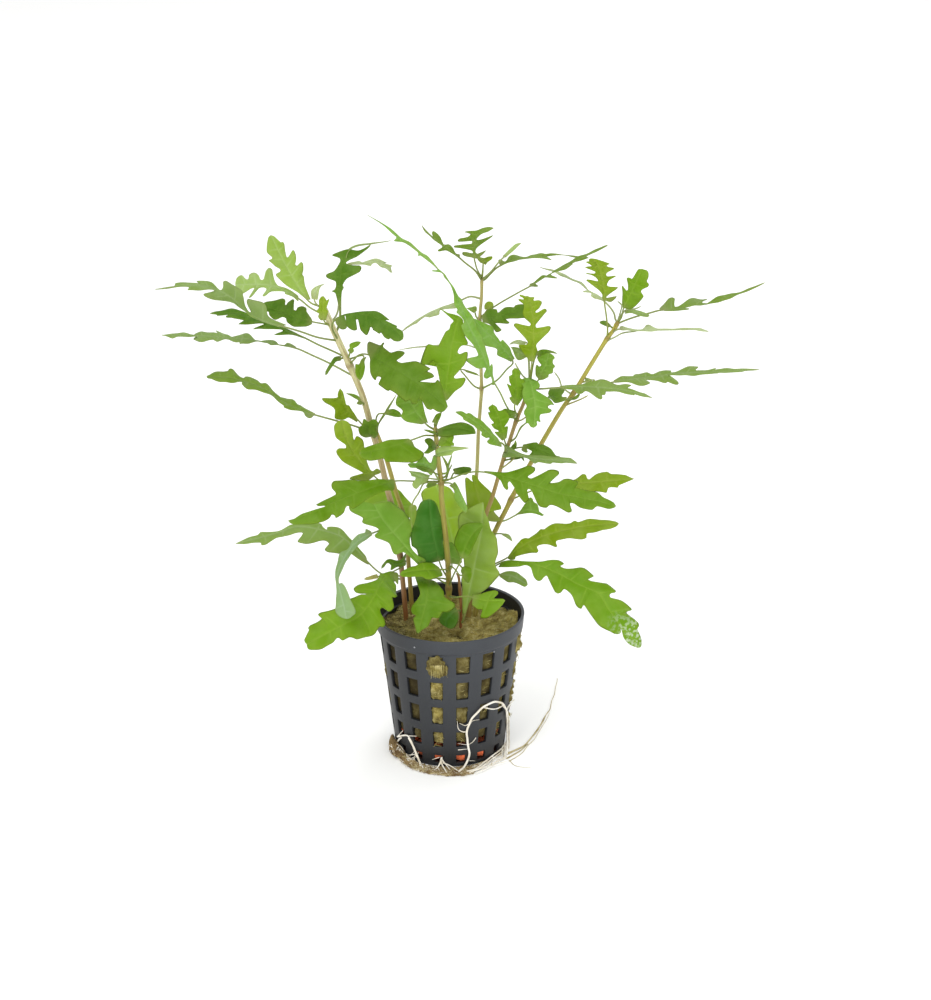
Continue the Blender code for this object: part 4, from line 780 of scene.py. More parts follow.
# %% The tall stem's leaves
grow("stem_tall", {
    "leaf_tall_1": (174, [91,1773,-20, 57,1800,-30, 27,1826,-40, -10,1854,-50, -40,1878,-60, -70,1904,-70,
    -97,1933,-80], 45, ([36,1830, 24,1833, 15,1850, -3,1864, -20,1865, -34,1888, -57,1911, -61,1904,
    -57,1893, -77,1906], [40,1810, -7,1843, -30,1843, -35,1848, -24,1858, -57,1880, -81,1902]), "olive"),
    "leaf_tall_2": (174.5, [98,1773,-20, 91,1794,-30, 86,1820,-40, 87,1860,-50, 94,1890,-60, 120,1913,-70,
    156,1922,-80], 20, ([77,1818, 43,1832, 80,1829, 81,1837, 74,1844, 14,1851, 16,1858, 74,1865, 79,1874,
    67,1881, 37,1874, 30,1879, 40,1888, 67,1893, 76,1904, 61,1910, 91,1913, 114,1922, 138,1926],
    [100,1815, 126,1839, 106,1829, 91,1836, 98,1854, 151,1894, 155,1901, 98,1876, 95,1884, 114,1901,
    138,1911]), "olive"),
    "tall_crown": (175.8, [116,1770,0, 117,1790,0, 119,1806,0, 126,1813,-10, 150,1823,-20], 20,
    ([108,1800, 94,1815, 104,1820, 120,1817, 135,1822], [128,1793, 149,1814]), "yellow_green"),
    "leaf_tall_3": (174, [124,1744,10, 145,1766,20, 172,1789,30, 220,1810,50, 270,1818,70, 320,1823,90,
    380,1830,110, 430,1826,130, 482,1815,140], 60, ([170,1809, 180,1814, 194,1806, 208,1819, 241,1824,
    270,1822, 295,1834, 335,1829, 360,1834, 450,1823], [178,1787, 197,1798, 241,1810, 290,1817, 359,1815,
    332,1820, 326,1827, 386,1828, 460,1817]), "olive"),
    "tall_wisp": (174.2, [145,1770,20, 174,1805,30, 200,1830,40, 224,1853,50, 252,1870,60], 30,
    ([185,1823, 230,1865], [197,1819, 236,1853]), "pale"),
    "leaf_tall_4": (161, [130,1631,10, 177,1662,20, 244,1700,40, 285,1722,50, 330,1751,50, 380,1779,60,
    430,1802,60, 480,1827,70, 520,1845,80, 556,1864,80], 70, ([282,1727, 295,1732, 322,1754, 345,1758,
    379,1783, 504,1846], [275,1714, 288,1717, 313,1715, 297,1723, 315,1738, 332,1747, 376,1752, 354,1757,
    366,1767, 436,1787, 423,1792, 429,1799, 487,1819, 478,1823, 490,1831, 520,1840]), "olive", 0.1),
    "leaf_tall_5": (167.5, [76,1683,10, 50,1675,20, 15,1654,30, -33,1639,50, -87,1615,60, -135,1583,80,
    -175,1555,90], 40, ([16,1660, -5,1655, -89,1618, -150,1576], [29,1643, -33,1635, -37,1616, -63,1606,
    -87,1610, -116,1588, -130,1582]), "faded"),
    "tall_thread": (150, [40,1515,80, -89,1507,100, -130,1503,120, -183,1495,140], 20, 0.3, "faded"),
    "leaf_tall_6": (135.5, [164,1386,-30, 200,1425,-60, 223,1452,-80, 195,1493,-100, 160,1530,-120,
    120,1565,-140, 83,1606,-160], 35, ([229,1466, 207,1504, 186,1531, 178,1524, 160,1558, 143,1578,
    100,1600], [214,1453, 174,1476, 162,1497, 120,1510, 95,1525, 70,1555, 60,1585]), "blue_green"),
    "leaf_tall_7": (157.5, [108,1604,-10, 140,1610,-30, 180,1618,-50, 230,1626,-70, 285,1633,-90], 25,
    ([113,1613, 137,1634, 165,1637, 170,1626, 191,1644, 207,1648, 224,1645, 231,1650, 270,1653],
    [117,1592, 143,1582, 164,1556, 177,1558, 184,1565, 159,1575, 149,1583, 164,1588, 196,1590, 204,1595,
    193,1602, 270,1606]), "dark"),
    "tall_bud": (161, [119,1616,0, 128,1630,0, 140,1648,0, 146,1664,0], 15, ([123,1636, 122,1652,
    133,1664], [142,1636, 154,1649, 152,1659]), "yellow_green"),
    "tall_bud_2": (160, [93,1612,10, 89,1628,10, 76,1639,10, 59,1641,10], 15, ([84,1624, 70,1633],
    [95,1630, 94,1647, 76,1645]), "fresh"),
    "tall_bow": (135.5, [85,1370,10, 55,1405,20, 39,1426,30, 63,1421,30, 82,1415,30, 106,1403,30], 20,
    ([50,1428, 93,1414], [60,1416, 94,1406]), "olive"),
    "leaf_tall_8": (72, [25,760,10, 12,820,30, -5,900,40, -25,970,40, -50,1026,40], 20, ([-30,780,
    -85,900, -99,976, -101,991, -92,1007, -73,1017], [30,790, 34,840, 55,880, 63,920, 50,950, 3,1009,
    -30,1024]), "lime_painted_light"),
})

# %% [markdown]
# The right stem leans out. Its longest leaf is blue green and sweeps up over the plant.

# %% The right stem's leaves
grow("stem_right", {
    "leaf_right_1": (138.5, [286,1425,-10, 290,1468,-10, 294,1520,-20, 294,1580,-20, 290,1635,-30,
    273,1684,-40], 10, ([282,1455, 242,1506, 274,1521, 228,1575, 224,1585, 234,1590, 278,1578, 284,1586,
    262,1606, 256,1625, 259,1653, 238,1674, 259,1673, 244,1687, 264,1683], [294,1453, 306,1472, 309,1490,
    305,1515, 347,1558, 354,1575, 343,1580, 306,1572, 303,1584, 342,1625, 338,1636, 327,1636, 302,1626,
    315,1643, 323,1662, 312,1670, 294,1669, 296,1680, 283,1680]), "yellow_green"),
    "leaf_right_2": (137.5, [304,1381,30, 323,1415,40, 340,1450,50, 348,1485,60], 20, ([301,1407,
    301,1434, 306,1443, 314,1437, 321,1442, 312,1454, 308,1471, 329,1484], [315,1388, 330,1391, 346,1400,
    348,1409, 361,1415, 363,1429, 369,1438, 362,1448, 362,1459, 368,1468, 360,1479]), "fresh"),
    "right_dark": (138.6, [300,1470,-10, 330,1488,-30, 379,1482,-50], 20, ([302,1484, 318,1496, 340,1497,
    366,1489], [312,1470, 354,1485]), "dark"),
    "right_arch": (138.4, [274,1512,20, 245,1523,30, 207,1513,50], 20, ([266,1523, 244,1530, 221,1524],
    [261,1511, 222,1517]), "faded"),
    "right_shade": (138.2, [274,1474,30, 248,1484,40, 213,1506,60], 20, ([276,1490, 241,1503], [268,1468,
    238,1461, 220,1496]), "sage"),
})
grow("stem_far_right", {
    "right_line": (134, [396,1364,-20, 384,1394,-20, 366,1420,-30], 20, 0.28, "faded"),
})
grow("stem_right", {
    "right_link": (138.8, [263,1399,-10, 244,1423,-40, 229,1452,-70], 20, 0.3, "faded"),
    "leaf_right_3": (126, [228,1290,-30, 233,1325,-30, 234,1370,-40, 229,1432,-50], 15, ([219,1310,
    209,1327, 217,1332, 202,1374, 215,1369, 209,1384, 207,1404, 218,1409, 219,1422], [238,1299, 264,1338,
    268,1360, 262,1389, 249,1395, 249,1412, 243,1426]), "bright"),
    "leaf_right_4": (138, [278,1397,-30, 289,1360,-50, 298,1315,-60, 299,1270,-70, 295,1222,-80], 15,
    ([295,1390, 312,1377, 315,1363, 302,1355, 349,1326, 368,1302, 358,1303, 346,1295, 360,1284, 349,1274,
    319,1269, 315,1256, 317,1242, 306,1245, 307,1232], [258,1394, 252,1380, 258,1365, 254,1346, 260,1315,
    268,1298, 260,1283, 260,1271, 267,1260, 267,1237, 275,1238, 285,1225]), "fresh"),
    "right_stalk_1": (117, [230,1187,-10, 248,1221,-30, 272,1244,-60], 20, 0.35, "olive"),
    "right_stalk_2": (124, [242,1247,-10, 255,1252,-30, 268,1262,-50], 20, 0.28, "tan"),
    "leaf_right_5": (115.5, [195,1172,-30, 186,1210,-40, 172,1260,-50, 150,1305,-50], 15, ([184,1177,
    160,1204, 173,1209, 157,1219, 142,1239, 153,1241, 140,1258, 133,1277, 141,1278, 137,1292], [200,1186,
    207,1222, 201,1228, 192,1226, 209,1263, 194,1285, 173,1282, 165,1296]), "bright"),
    "right_tuft": (124.6, [234,1263,-20, 210,1272,-40, 178,1276,-50], 20, ([236,1275, 224,1283, 197,1290,
    182,1283], [225,1254, 193,1262])),
    "leaf_right_6": (112.5, [194,1159,-80, 165,1181,-110, 130,1212,-140, 95,1241,-160, 55,1266,-180,
    20,1279,-190], 30, ([180,1155, 147,1163, 138,1173, 143,1186, 130,1186, 113,1197, 110,1207, 93,1217,
    86,1230, 53,1250, 46,1260, 29,1268], [177,1174, 145,1216, 86,1267, 67,1275, 60,1272, 42,1280]),
    "fresh"),
    "leaf_right_7": (112.5, [202,1142,-30, 240,1130,-50, 280,1118,-60, 330,1111,-80, 390,1108,-90,
    449,1097,-100], 20, ([197,1161, 244,1137, 271,1128, 419,1118, 436,1108], [188,1132, 188,1118,
    244,1120, 271,1115, 298,1096, 312,1101, 339,1097, 354,1097, 362,1101, 392,1097, 408,1099]), "sage"),
    "leaf_right_8": (114, [239,1153,-20, 275,1154,-30, 310,1148,-40, 350,1133,-50, 390,1121,-60], 20,
    ([258,1164, 305,1171, 314,1165, 329,1167, 355,1149, 372,1127], [251,1145, 261,1137, 274,1136,
    272,1148, 292,1134, 280,1125, 370,1116]), "dark"),
    "right_bud": (113.2, [223,1153,-20, 230,1164,-30, 231,1179,-30], 20, 0.9),
    "right_drop": (111, [246,1120,-40, 256,1116,-50, 263,1102,-50], 20, 0.7, "dark"),
    "right_twig": (107.8, [186,1084,-10, 207,1099,-20, 230,1119,-30], 20, 0.3, "tan"),
    "leaf_right_9": (124.5, [201,1297,-30, 180,1341,-40, 160,1376,-50, 142,1415,-80, 123,1465,-100,
    95,1525,-130, 63,1590,-160, 38,1650,-190, 10,1715,-210, -15,1753,-215, -40,1777,-220, -65,1802,-223,
    -95,1830,-227, -130,1857,-230, -172,1884,-240, -215,1922,-250, -292,1971,-260], 20, ([149,1372,
    151,1385, 145,1400, 132,1394, 120,1399, 120,1413, 127,1428, 120,1434, 93,1433, 64,1452, 73,1462,
    96,1469, 100,1478, 90,1501, 63,1534, 49,1558, 42,1578, 49,1591, 42,1608, 26,1625, 29,1635, 19,1650,
    7,1716, -19,1750, -22,1764, -61,1770, -60,1774, -39,1778, -102,1825, -109,1823, -110,1836, -155,1868,
    -196,1876, -175,1880, -225,1925], [163,1374, 157,1389, 148,1448, 141,1438, 133,1485, 84,1607, 59,1639,
    46,1669, 33,1682, -14,1758, -39,1780, -75,1823, -97,1836, -136,1870, -168,1887, -210,1924]),
    "blue_green"),
    "leaf_right_10": (136, [316,1360,-30, 360,1363,-40, 420,1366,-60, 500,1365,-90, 570,1360,-110,
    640,1348,-130, 712,1328,-150], 45, ([386,1369, 500,1382, 534,1390, 637,1369, 619,1362, 681,1346,
    696,1336], [390,1360, 436,1355, 446,1344, 467,1340, 480,1343, 527,1325, 535,1330, 531,1338, 544,1341,
    547,1351, 646,1336, 648,1340, 684,1331]), "sage"),
})
grow("stem_far_right", {
    "right_pale": (138.5, [510,1386,0, 495,1392,0, 474,1399,10], 20, ([508,1396, 492,1406, 494,1396,
    480,1399], [496,1383, 478,1383]), "pale"),
})
grow("stem_right", {
    "leaf_right_11": (86, [130,885,30, 115,930,40, 100,985,50, 79,1058,60], 15, ([95,895, 65,920, 56,1027,
    59,1049, 81,1029, 78,1044], [140,895, 164,893, 180,901, 155,933, 181,939, 164,977, 106,1035,
    93,1055]), "yellow_green"),
    "leaf_right_12": (66, [160,704,20, 190,708,20, 230,700,20, 274,673,10], 20, ([176,711, 196,719,
    219,720, 240,715, 267,693], [176,700, 206,683, 226,680, 262,665]), "sage"),
    "right_low": (84.5, [169,852,-10, 195,847,-20, 221,823,-20], 20, ([186,853, 203,851, 215,840],
    [182,848, 209,831]), "sage"),
})

# %% [markdown]
# The far right stem leans most. Its leaves reach out to the right, the lowest one arching down.

# %% The far right stem's leaves
grow("stem_far_right", {
    "leaf_far_1": (153.5, [554,1565,-10, 550,1610,-20, 543,1660,-30, 540,1710,-40, 532,1750,-50,
    522,1786,-60, 503,1815,-70], 20, ([534,1676, 534,1689, 520,1706, 480,1736, 485,1740, 520,1734,
    514,1746, 493,1758, 477,1761, 480,1765, 504,1762, 509,1769, 472,1784, 478,1788, 495,1784, 493,1792,
    475,1802, 480,1805, 490,1803, 487,1810, 493,1815], [564,1662, 583,1677, 584,1684, 557,1670, 549,1680,
    584,1712, 586,1718, 561,1717, 552,1721, 556,1732, 567,1741, 586,1748, 584,1752, 554,1752, 549,1760,
    557,1768, 576,1777, 574,1782, 551,1788, 559,1798, 514,1813]), "yellow_green"),
    "leaf_far_2": (159.5, [602,1610,-10, 609,1640,-20, 630,1682,-30, 649,1720,-40, 674,1779,-50], 15,
    ([604,1644, 601,1713, 606,1719, 623,1704, 623,1747, 630,1751, 640,1745, 658,1775], [629,1636,
    641,1640, 658,1655, 685,1686, 672,1702, 692,1713, 696,1723, 690,1734, 695,1747, 695,1763, 689,1773]),
    "bright"),
    "far_line": (159.4, [603,1642,-20, 602,1654,-30, 587,1667,-40], 20, 0.22, "faded"),
    "far_bract_1": (159.3, [609,1629,-20, 632,1633,-40, 665,1625,-50, 700,1614,-60], 20, ([621,1634,
    638,1637, 662,1634, 697,1620], [614,1621, 638,1624, 675,1611, 692,1609]), "sage"),
    "far_bract_2": (159.2, [615,1634,0, 648,1639,10, 674,1650,20], 20, 0.3, "faded"),
    "leaf_far_3": (159, [606,1597,20, 648,1612,30, 700,1626,40, 740,1636,50, 800,1641,60, 860,1657,80,
    903,1658,90, 960,1679,100, 1010,1693,110, 1050,1706,120, 1106,1733,130], 60, ([734,1640, 765,1675,
    780,1678, 789,1671, 783,1652, 787,1646, 802,1648, 852,1674, 876,1679, 899,1680, 903,1676, 881,1664,
    886,1660, 903,1660, 960,1690, 1017,1698, 1078,1723], [755,1631, 814,1629, 840,1634, 818,1637,
    816,1642, 856,1650, 886,1650, 960,1668, 992,1678, 1071,1715]), "olive"),
    "leaf_far_4": (155.8, [586,1568,-20, 610,1570,-30, 650,1565,-40, 700,1566,-60, 780,1567,-80,
    860,1568,-100, 909,1560,-110], 60, ([594,1574, 606,1579, 645,1569, 672,1568, 687,1578, 701,1578,
    730,1570, 876,1572], [600,1564, 655,1560, 840,1566, 886,1559]), "faded"),
    "far_stalk": (152.5, [578,1540,-10, 608,1555,-20, 658,1561,-40], 20, 0.28, "faded"),
    "far_bract_3": (156.6, [570,1573,10, 552,1585,10, 524,1593,20], 20, ([565,1582, 550,1595, 536,1598],
    [559,1573, 530,1585]), "dark"),
    "leaf_far_5": (159.5, [582,1604,10, 577,1626,20, 556,1654,30, 520,1686,50, 483,1709,60, 456,1731,80,
    420,1747,90, 386,1764,100, 345,1777,120, 314,1787,130], 60, ([549,1668, 529,1685, 490,1704, 463,1730,
    386,1767], [534,1668, 497,1685, 496,1695, 468,1700, 469,1704, 484,1704, 458,1724, 423,1742]),
    "faded"),
    "leaf_far_6": (134.5, [460,1353,30, 520,1372,40, 570,1383,50, 620,1392,60, 670,1398,80, 720,1402,90,
    780,1413,100, 860,1418,120, 940,1420,140, 1010,1423,150, 1088,1427,170], 45, ([574,1388, 604,1402,
    641,1404, 648,1410, 665,1415, 687,1417, 710,1409, 738,1421, 777,1425, 776,1418, 792,1420, 829,1433,
    849,1436, 871,1434, 862,1427, 864,1423, 934,1431, 929,1426, 977,1431, 1057,1429], [581,1380, 631,1381,
    681,1369, 697,1371, 701,1377, 689,1383, 688,1389, 755,1383, 765,1386, 803,1380, 766,1401, 769,1406,
    819,1404, 936,1411, 948,1415, 1020,1417, 1041,1422]), "sage"),
    "leaf_far_7": (131.5, [428,1324,-30, 404,1324,-40, 375,1332,-50, 347,1335,-70], 20, ([410,1331,
    396,1331, 394,1338, 409,1356, 380,1361, 352,1358, 345,1345], [410,1319, 372,1309, 342,1325]), "dark"),
    "far_scale": (132, [438,1326,-20, 448,1332,-20, 456,1342,-30], 20, 0.6),
    "far_thread": (130, [433,1312,-10, 460,1323,-20, 487,1337,-30], 20, 0.25, "tan"),
    "leaf_far_8": (97, [270,995,30, 330,1015,40, 420,1026,40, 520,1033,40, 647,1044,40], 20, ([340,1025,
    436,1042, 463,1059, 477,1057, 482,1045, 490,1042, 514,1060, 551,1071, 567,1062, 615,1057, 631,1050],
    [360,1010, 440,1010, 547,993, 558,1012, 588,1013, 594,1022, 631,1036]), "yellow_green"),
    "leaf_far_9": (89.5, [202,901,20, 230,916,30, 260,930,30, 290,934,30, 331,918,40], 20, ([232,920,
    248,933, 281,979, 292,977, 298,964, 308,957, 312,946, 310,935, 318,927], [248,919, 288,923, 325,913]),
    "fresh"),
    "leaf_far_10": (72, [160,747,-20, 200,767,-30, 240,800,-40, 295,830,-50, 360,853,-70, 440,872,-80,
    520,883,-90, 593,887,-110], 25, ([195,762, 250,830, 267,837, 278,836, 307,860, 320,867, 334,867,
    351,880, 371,887, 418,890, 438,897, 452,892, 485,902, 536,902, 583,894], [215,759, 230,762, 233,771,
    270,783, 307,783, 314,791, 309,805, 324,812, 344,814, 364,807, 373,810, 374,824, 388,829, 411,833,
    442,832, 477,839, 482,852, 529,859, 583,877]), "yellow_green"),
    "leaf_far_11": (70, [169,744,-50, 209,754,-70, 260,752,-90, 310,741,-110, 380,713,-130, 440,680,-150,
    485,660,-160, 524,640,-170, 555,590,-180, 582,550,-190, 600,523,-200, 632,489,-210, 664,451,-210], 15,
    ([186,755, 209,759, 290,755, 379,759, 401,747, 389,742, 391,736, 408,731, 455,733, 475,728, 505,703,
    487,700, 484,693, 497,686, 548,680, 561,672, 582,652, 580,645, 565,642, 560,634, 566,627, 602,617,
    637,590, 638,584, 624,580, 622,575, 659,541, 663,529, 657,516, 674,479, 672,459], [173,734, 240,736,
    263,741, 277,738, 287,729, 295,700, 307,688, 320,689, 331,700, 341,704, 368,648, 379,640, 391,645,
    400,657, 411,653, 428,636, 442,603, 452,591, 462,588, 471,599, 521,534, 568,504, 583,499, 599,504,
    600,518, 608,492, 619,475, 632,462, 652,454]), "bright", 0.24, 0.78),
})

# %% [markdown]
# A young stem has just come up in front, with one broad uncut leaf.

# %% The young stem's leaves
grow("stem_young", {
    "leaf_young_1": (54.5, [46,546,-10, 60,600,-15, 76,680,-10, 90,750,-10, 106,830,-10, 114,890,-10,
    118,962,-10], 20, ([46,570, 43,685, 50,720, 47,770, 29,890, 30,916, 63,939, 96,955], [59,578, 69,609,
    86,629, 127,656, 174,705, 175,716, 164,753, 167,787, 163,836, 124,926]), "light"),
    "leaf_young_2": (58, [32,583,-20, 10,573,-30, -10,548,-40, -12,524,-50], 20, ([22,593, -5,586,
    -25,575, -38,555, -32,538], [32,565, 29,544, 18,527, 2,520]), "deep"),
})

# %% [markdown]
# ### The midrib and its ways
# At every point of the midrib three ways are needed: along it, aside from it and up from the blade. They
# are steadied along the leaf, or the lobes would cross where the midrib bends.

# %% The midrib
MIDRIB_STEP = 0.4


class Midrib:
    """A leaf's midrib from the stem to the tip, and at each of its points the ways up and aside."""

    def __init__(self, leaf):
        line = lines[leaf.stem]
        stem = line[np.argmin(abs(on_sheet(line)[:, 1] - leaf.height))]
        route = [stem] + [seen(across, up, stem[1] + depth * DEPTH_STRETCH)
                          for across, up, depth in in_mm(leaf.midrib, 3)]
        count = max(round(length_of(np.array(route)) / MIDRIB_STEP), 12)
        self.points = smooth_path(route, count)
        self.travelled = np.linspace(0, length_of(self.points), count + 1)
        along = unit(blurred(np.gradient(self.points, axis=0), count // 12))
        to_viewer = unit(-LOOK - (along @ -LOOK)[:, None] * along)
        right = 1 if self.points[-1][0] >= self.points[0][0] else -1
        to_sky = right * np.cross(to_viewer, along)
        turns = np.radians(np.linspace(*np.broadcast_to(leaf.turn, 2), count + 1))[:, None]
        self.upper = to_viewer * np.cos(turns) + to_sky * np.sin(turns)
        self.aside = np.cross(along, self.upper)
        self.places = on_sheet(self.points)

    def at(self, travelled):
        """The point and the ways up and aside, this far from the stem."""
        return [np.stack([np.interp(travelled, self.travelled, axis) for axis in values.T], axis=-1)
                for values in (self.points, self.upper, self.aside)]


print("a midrib has a point every", MIDRIB_STEP, "mm")

# %% [markdown]
# ### The edges
# An edge runs out and back round every lobe. Each of its points needs a root on the midrib: at the bottom of
# a bay that is the nearest point of the midrib, and between two bays the root moves on evenly while the edge
# goes round the lobe, so the lines from roots to edge fan out into the lobe and never cross a bay. The line
# to a lobe's tip becomes its vein.

# %% An edge and its roots
def edge_line(places):
    """A smooth line through places that are unevenly far apart, and how far along it each place lies."""
    gaps = np.linalg.norm(np.diff(places, axis=0), axis=1)
    ways = np.zeros_like(places)
    ways[1:-1] = unit(places[2:] - places[:-2]) * np.minimum(gaps[1:], gaps[:-1])[:, None]
    fine = []
    for start, end, way_in, way_out in zip(places, places[1:], ways, ways[1:]):
        for s in np.linspace(0, 1, SPAN_STEPS, endpoint=False):
            fine.append(start * (2 * s ** 3 - 3 * s ** 2 + 1) + way_in * (s ** 3 - 2 * s ** 2 + s)
                        + end * (3 * s ** 2 - 2 * s ** 3) + way_out * (s ** 3 - s ** 2))
    fine = np.array(fine + [places[-1]])
    travelled = distances(fine)
    return fine, travelled, travelled[::SPAN_STEPS]


def rooted_edge(midrib, start, places, petiole):
    """The edge's side, its fine points, its length and root at each of them, and the roots of its tips."""
    apart = np.linalg.norm(places[:, None] - midrib.places[None], axis=2)
    aside = on_sheet(midrib.points + midrib.aside) - midrib.places
    nearest = apart.argmin(axis=1)
    side = 1 if sum((place - midrib.places[k]) @ aside[k] for place, k in zip(places, nearest)) > 0 else -1
    first = midrib.places[start] + side * petiole * aside[start]
    fine, travelled, stops = edge_line(np.array([first, *places, midrib.places[-1]]))
    reach = np.concatenate([[0], apart[:, start:].min(axis=1), [0]])
    inner = range(1, len(reach) - 1)
    bays = [0] + [k for k in inner if reach[k] <= min(reach[k - 1], reach[k + 1])] + [len(reach) - 1]
    tips = [k for k in inner if reach[k] > max(reach[k - 1], reach[k + 1]) - 0.01]
    roots = [midrib.travelled[start]]
    for bay in bays[1:-1]:
        here = midrib.travelled[start + apart[bay - 1, start:].argmin()] - 0.3 * reach[bay]
        roots.append(min(max(here, roots[-1] + 0.3), midrib.travelled[-1] - 0.3))
    roots.append(midrib.travelled[-1])
    roots = np.interp(travelled, stops[bays], np.maximum.accumulate(roots))
    return side, fine, travelled, roots, np.interp(stops[tips], travelled, roots)


print("edges have", SPAN_STEPS, "steps from place to place")

# %% [markdown]
# Rows are then laid across both halves of the blade, closer together where an edge has far to go. An edge's
# point lies where its line of sight meets the blade's plane, so the leaf keeps its outline on the sheet while
# it turns in depth.

# %% Rows across the blade
ROW_LENGTH = 0.75
STEEPEST = 2.6


def in_blade(middle, upper, places):
    """Where the lines of sight through these places meet the blade that lies at middle."""
    rays = sight_line(places)
    at_depth = EYE + rays * ((middle[:, 1] - EYE[1]) / rays[:, 1])[:, None]
    aside = at_depth - middle
    rays = unit(rays)
    further = -(aside * upper).sum(axis=1) / np.minimum((rays * upper).sum(axis=1), -0.05)
    limit = STEEPEST * np.linalg.norm(aside, axis=1)
    return at_depth + rays * np.clip(further, -limit, limit)[:, None]


def uncut_width(share, half):
    return half * np.sin(math.pi * np.clip(share, 0, 1) ** 1.15) ** 0.8


def leaf_rows(leaf):
    """For each row: how far up the midrib, is it blade, the places of middle and edges; then the veins."""
    midrib = Midrib(leaf)
    end = midrib.travelled[-1]
    veins = {1: [], -1: []}
    if isinstance(leaf.edges, tuple):
        outline = [in_mm(edge, 2) for edge in leaf.edges]
        first = np.mean([edge[0] for edge in outline], axis=0)
        start = int(np.linalg.norm(midrib.places - first, axis=1)[:-2].argmin())
        begin = midrib.travelled[start]
        found = [rooted_edge(midrib, start, edge, leaf.petiole) for edge in outline]
        ups = np.unique(np.concatenate([roots for _, _, _, roots, _ in found]))
        total = sum(np.interp(ups, roots, travelled) for _, _, travelled, roots, _ in found) + 0.5 * ups
        count = round((total[-1] - total[0]) / ROW_LENGTH) + 8
        blade = np.interp(np.linspace(total[0], total[-1], count), total, ups)
    else:
        begin = 0.12 * end
        blade = np.linspace(begin, end, round((end - begin) / 0.5) + 8)
    stalk = np.linspace(0, begin, max(round(begin / 0.8), 3), endpoint=False)
    up = np.concatenate([stalk, blade])
    middle, upper, aside = midrib.at(up)
    width = leaf.petiole * (1 + np.exp(-up / 1.5))
    edges = {side: middle + side * aside * width[:, None] for side in (1, -1)}
    if isinstance(leaf.edges, tuple):
        for side, fine, travelled, roots, tips in found:
            here = np.interp(blade, roots, travelled)
            places = np.stack([np.interp(here, travelled, axis) for axis in fine.T], axis=-1)
            edges[side][len(stalk):] = in_blade(middle[len(stalk):], upper[len(stalk):], places)
            veins[side] = tips
    else:
        share = (up - begin) / (end - begin)
        wide = np.maximum(uncut_width(share, leaf.edges), width * np.clip((1 - share) * 8, 0, 1))
        for side in (1, -1):
            edges[side] = middle + side * aside * (wide * (1 + 0.04 * np.sin(up * 1.6 + side)))[:, None]
            veins[side] = begin + (end - begin) * np.linspace(0.06, 0.85, 7)
    return up, np.clip((up - begin) / 3, 0, 1), middle, upper, edges, veins


print("rows are laid every", ROW_LENGTH / 2, "mm of edge")

# %% [markdown]
# ### The skin
# The blade is one closed skin: across the upper side, round the edge and back underneath. The midrib is a
# groove above and a ridge below, each lobe has its side vein, and between veins the blade puffs up a
# little, as real ones do. The petiole is the same skin drawn in to a stalk.

# %% A leaf
ACROSS = np.array((0, 0.06, 0.15, 0.3, 0.5, 0.72, 0.9, 1.0))
BLADE_THICKNESS = 0.26


def make_leaf(name, leaf, stands_for=()):
    up, is_blade, middle, upper, edges, veins = leaf_rows(leaf)
    luck = random.Random(name)
    wave = luck.uniform(0.5, 1.0)
    phases = [luck.uniform(0, 2 * math.pi) for _ in range(4)]
    ending = np.clip((up[-1] - up) / 1.5, 0, 1)
    narrow = np.clip(1.1 - np.linalg.norm(edges[1] - edges[-1], axis=1) / 1.8, 0, 1)
    top, under, vein, rim = [], [], [], []
    for x in np.concatenate([-ACROSS[:0:-1], ACROSS]):
        side = -1 if x < 0 else 1
        place = middle + abs(x) * (edges[side] - middle)
        out = np.linalg.norm(place - middle, axis=1)
        reach = np.linalg.norm(edges[side] - middle, axis=1)
        near_vein = np.zeros(len(up))
        for tip in veins[side]:
            gap = np.linalg.norm(place - place[np.argmin(abs(up - tip))], axis=1)
            near_vein = np.maximum(near_vein, np.exp(-(gap / 0.32) ** 2))
        near_vein *= np.clip(1.15 - abs(x), 0, 1) * is_blade
        groove = np.exp(-(out / 0.35) ** 2)
        ripple = wave * abs(x) ** 1.4 * np.minimum(reach, 5) / 5
        ripple = ripple * (np.sin(up * 2 * math.pi / 13 + phases[side])
                           + 0.5 * np.sin(up * 2 * math.pi / 6.1 + phases[side + 2]))
        puff = 0.22 * (1 - near_vein) * 4 * abs(x) * (1 - abs(x)) * np.minimum(reach, 3) / 3
        height = (ripple + puff - 0.14 * groove) * is_blade * ending
        place = place + upper * height[:, None]
        ridge = (0.1 * (1 - is_blade) + 0.25 * (1 - up / up[-1])) * np.exp(-(out / 0.45) ** 2)
        thick = (BLADE_THICKNESS + ridge) * (1 - abs(x) ** 6) ** 0.5 * np.clip(ending * 2, 0, 1)
        top.append(place)
        under.append(place - upper * thick[:, None])
        vein.append(np.maximum(near_vein, groove))
        rim.append(abs(x) ** 5 * is_blade)
    loop = list(range(len(top))) + list(range(len(top) - 2, 0, -1)) + [0]
    below = [0] * len(top) + [1] * (len(top) - 2) + [0]
    places = np.stack([(under if is_below else top)[k] for k, is_below in zip(loop, below)], axis=1)
    bm = new_bmesh("vein", "under", "rim", "tint", "stalk", "worn")
    lay_grid(bm, places, vein=np.stack([vein[k] for k in loop], axis=1), under=np.array(below)[None],
             rim=np.stack([rim[k] for k in loop], axis=1), tint=luck.uniform(0, 0.25),
             stalk=(0.65 * np.maximum(1 - is_blade, 0.7 * narrow))[:, None],
             worn=np.clip((up / up[-1] - leaf.worn) * 8, 0, 1)[:, None])
    close_up(bm)
    return piece_from(bm, name + "_blade", "leaf", leaf_skins[leaf.tone], stands_for=stands_for)


solids = set(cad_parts)
leaves = [make_leaf(name, leaf, [name] if name in solids else ()) for name, leaf in LEAVES.items()]
print(len(leaves), "leaves,", sum(len(leaf.data.polygons) for leaf in leaves), "faces")

